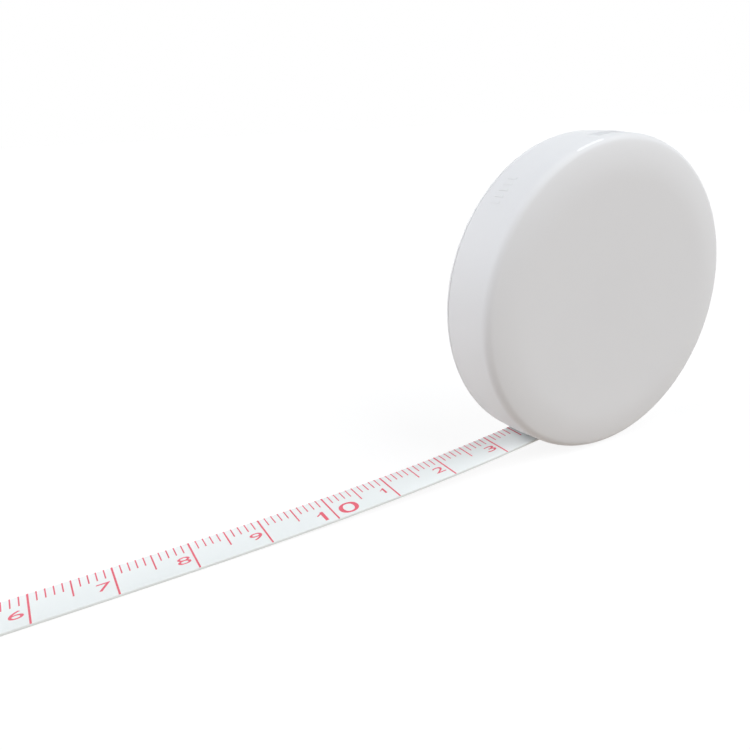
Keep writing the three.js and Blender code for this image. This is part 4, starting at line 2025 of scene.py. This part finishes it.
@dataclass
class TapeAssembly:
    """The free tape with its print, and the clip on its end."""

    paint: Paintbox
    course: TapeCourse = TapeCourse()
    seam: float = 22.0
    tape_end: float = 0.95
    print_start: int = 10
    print_end: int = 148
    pull: Point3 = (-0.9997756341, 0.0, -0.0211821022)
    stroke: float = 125.286

    def build(self) -> None:
        """Builds the tape's pieces and ties them to the moving end."""
        guide = self.course.guide()
        lead = TapeStrip("tape_lead", self.tape_end, self.seam).make(guide)
        run = TapeStrip("tape_run", self.seam, self.course.length).make(guide)
        lead_print = TapePrint("print_lead", self.print_start, int(self.seam)).make(guide)
        run_print = TapePrint("print_run", int(self.seam), self.print_end).make(guide)
        bpy.data.objects.remove(guide, do_unlink=True)
        for strip in (lead, run):
            self.paint.dress(strip, Finish.TAPE)
            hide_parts("tape_blade")
        for scale in (lead_print, run_print):
            self.paint.dress(scale, Finish.INK)
        for piece in (lead, run, lead_print, run_print):
            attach(piece, "tape_end")
            report(piece)
        for piece in (run, run_print):
            self.draw_in(piece)
        self.build_clip()

    def draw_in(self, piece: Piece) -> None:
        """Gives a piece that rides on the tape's end its own copy of its mesh.

        Args:
            piece: the finished piece, which reaches from the seam to the drum.
        """
        seam_x, seam_z = self.course.at(self.seam)
        drum_x, drum_z = self.course.drum_point()
        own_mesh(piece)

    def build_clip(self) -> None:
        """Builds the end clip and its rivets."""
        clip = EndClip()
        near, far = clip.rivets()
        made = ((clip.make(), "end_clip"), (near, "clip_rivet_left"), (far, "clip_rivet_right"))
        for piece, node in made:
            self.paint.dress(piece, Finish.PLATED)
            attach(piece, "tape_end")
            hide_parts(node)
            report(piece)


@dataclass
class CaseAssembly:
    """Both halves of the case with the button and its spring."""

    paint: Paintbox
    form: CaseForm = CaseForm()

    def build(self) -> None:
        """Builds the case's pieces and ties them to their bodies."""
        coil = ButtonCoil()
        made = (
            (FrontShell(self.form).make(), Finish.CASE, "case_white", "case", "front_shell"),
            (RearCover(self.form).make(), Finish.CASE, "case_white", "case", "rear_cover"),
            (PushButton().make(), Finish.BUTTON, "button_white", "button", "push_button"),
            (coil.make(), Finish.SPRING, "spring_steel", "case", "button_spring"),
        )
        for piece, finish, slot, body, node in made:
            self.paint.dress(piece, finish)
            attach(piece, body)
            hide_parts(node)
            report(piece)
        spring = made[-1][0]
        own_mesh(spring)


@dataclass
class InnerWorks:
    """The pieces inside the case, which keep their CAD shapes and get their finishes."""

    paint: Paintbox

    def build(self) -> None:
        """Dresses each carried-over node."""
        finishes = {
            Finish.PLATED: (
                "arbor",
                "arbor_screw",
                "retaining_washer",
                "brake_seat_ring",
                "tape_anchor_rivet",
            ),
            Finish.SLIP: ("front_washer", "rear_washer"),
            Finish.DRUM: ("drum", "spring_cover"),
            Finish.SPRING: ("mainspring",),
            Finish.RUBBER: ("brake_ring",),
            Finish.WOUND: ("tape_winding",),
        }
        for finish, nodes in finishes.items():
            for name in nodes:
                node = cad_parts[name]
                self.paint.dress(node, finish)
                report(node)


# Studio


def towards(azimuth: float, elevation: float) -> Vector:
    """Works out the direction from the object to a place round it.

    Args:
        azimuth: the turn from the front, in radians, positive to the right.
        elevation: the turn up from level, in radians.

    Returns:
        The direction, of length 1.
    """
    level = math.cos(elevation)
    return Vector((math.sin(azimuth) * level, -math.cos(azimuth) * level, math.sin(elevation)))


@dataclass
class Lamp:
    """A broad distant lamp. Its turn is in degrees from the front, positive to the left."""

    name: str
    turn: float
    height: float
    strength: float
    spread: float = 50.0
    tint: Point3 = (1.0, 1.0, 1.0)

    def hang(self) -> None:
        """Adds the lamp."""
        data = bpy.data.lights.new(self.name, "SUN")
        data.energy = self.strength
        data.angle = math.radians(self.spread)
        data.color = self.tint
        lamp = bpy.data.objects.new(self.name, data)
        bpy.context.scene.collection.objects.link(lamp)
        back = towards(-math.radians(self.turn), math.radians(self.height))
        lamp.rotation_euler = back.to_track_quat("Z", "Y").to_euler()


@dataclass(frozen=True)
class PhotoCamera:
    """The camera where the photograph was taken from, with its angles in radians."""

    target: Point3 = (-28.2565, 22.5249, 10.3263)
    distance: float = 125.3135
    azimuth: float = -0.4883
    elevation: float = 0.3537
    roll: float = 0.0463
    focal_pixels: float = 697.4
    image_pixels: float = 750.0
    sensor: float = 36.0
    near: float = 5.0

    def set_up(self) -> None:
        """Adds the camera and makes it the scene's own."""
        data = bpy.data.cameras.new("camera")
        data.sensor_width = self.sensor
        data.lens = self.focal_pixels * self.sensor / self.image_pixels
        data.clip_start = self.near * MM
        camera = bpy.data.objects.new("camera", data)
        bpy.context.scene.collection.objects.link(camera)
        back = towards(self.azimuth, self.elevation)
        right = (-back).cross(Vector((0, 0, 1))).normalized()
        down = (-back).cross(right)
        level = math.cos(self.roll) * right + math.sin(self.roll) * down
        drop = -math.sin(self.roll) * right + math.cos(self.roll) * down
        turned = Matrix((level, -drop, back)).transposed().to_4x4()
        place = metres(*self.target) + back * self.distance * MM
        camera.matrix_world = Matrix.Translation(place) @ turned
        bpy.context.scene.camera = camera


@dataclass
class Studio:
    """A white floor and sky, with soft lamps."""

    sky: float = 0.03
    floor_size: float = 6000.0
    floor_sunk: float = 0.03
    floor_bounce: Point3 = (0.505, 0.434, 0.376)
    floor_shade: float = 0.15
    floor_glow: float = 0.88
    lamps: Tuple[Lamp, ...] = (
        Lamp("left", 104.0, 29.5, 2.12, 60.0, (0.962, 0.995, 1.05)),
        Lamp("front", -37.0, 43.5, 2.80, 60.0, (0.972, 1.0, 1.03)),
        Lamp("rear", 178.0, 5.0, 1.1, 40.0),
    )

    def build(self) -> None:
        """Sets up the world, the floor and the lamps."""
        bpy.context.scene.view_settings.view_transform = "Standard"
        self.make_sky()
        self.make_floor()
        for lamp in self.lamps:
            lamp.hang()

    @staticmethod
    def seen_directly(wires: Wiring) -> Socket:
        """Masks the rays from the camera, reflections and glass.

        Args:
            wires: the node tree that the mask is for.

        Returns:
            The mask's output.
        """
        path = wires.node("LightPath").outputs
        first = wires.maths("MAXIMUM", path["Is Camera Ray"], path["Is Glossy Ray"])
        return wires.maths("MAXIMUM", first, path["Is Transmission Ray"])

    def make_sky(self) -> None:
        """Makes the world: white where it's seen, and much dimmer as a light."""
        world = bpy.data.worlds.new("sky")
        bpy.context.scene.world = world
        world.use_nodes = True
        wires = Wiring(world.node_tree)
        light = world.node_tree.nodes["Background"]
        shown = wires.node("Background")
        wires.feed(light.inputs["Strength"], self.sky)
        for background in (light, shown):
            wires.feed(background.inputs["Color"], WHITE)
        mixed = wires.mix_shaders(self.seen_directly(wires), light.outputs[0], shown.outputs[0])
        wires.feed(world.node_tree.nodes["World Output"].inputs["Surface"], mixed)

    def make_floor(self) -> None:
        """Makes the floor: white where it's seen, with the object's shadow on it."""
        bpy.ops.object.select_all(action="DESELECT")
        place = metres(0, 0, -self.floor_sunk)
        bpy.ops.mesh.primitive_plane_add(size=self.floor_size * MM, location=place)
        floor = settle("floor")
        material = bpy.data.materials.new("floor_white")
        material.use_nodes = True
        tree = material.node_tree
        tree.nodes.remove(tree.nodes["Principled BSDF"])
        wires = Wiring(tree)
        bounce, shade = wires.node("BsdfDiffuse"), wires.node("BsdfDiffuse")
        wires.feed(bounce.inputs["Color"], (*self.floor_bounce, 1))
        wires.feed(shade.inputs["Color"], (self.floor_shade,) * 3 + (1,))
        glow = wires.node("Emission")
        wires.feed(glow.inputs["Strength"], self.floor_glow)
        shown = wires.node("AddShader")
        wires.feed(shown.inputs[0], shade.outputs[0])
        wires.feed(shown.inputs[1], glow.outputs[0])
        mixed = wires.mix_shaders(self.seen_directly(wires), bounce.outputs[0], shown.outputs[0])
        wires.feed(tree.nodes["Material Output"].inputs["Surface"], mixed)
        floor.data.materials.append(material)


def main() -> None:
    """Builds the tape measure's looks and its studio, in order."""
    logging.basicConfig(level=logging.INFO, format="%(name)s: %(message)s")
    PhotoCamera().set_up()
    paint = Paintbox(Workshop())
    CaseAssembly(paint).build()
    TapeAssembly(paint).build()
    InnerWorks(paint).build()
    Studio().build()


if __name__ == "__main__":
    main()
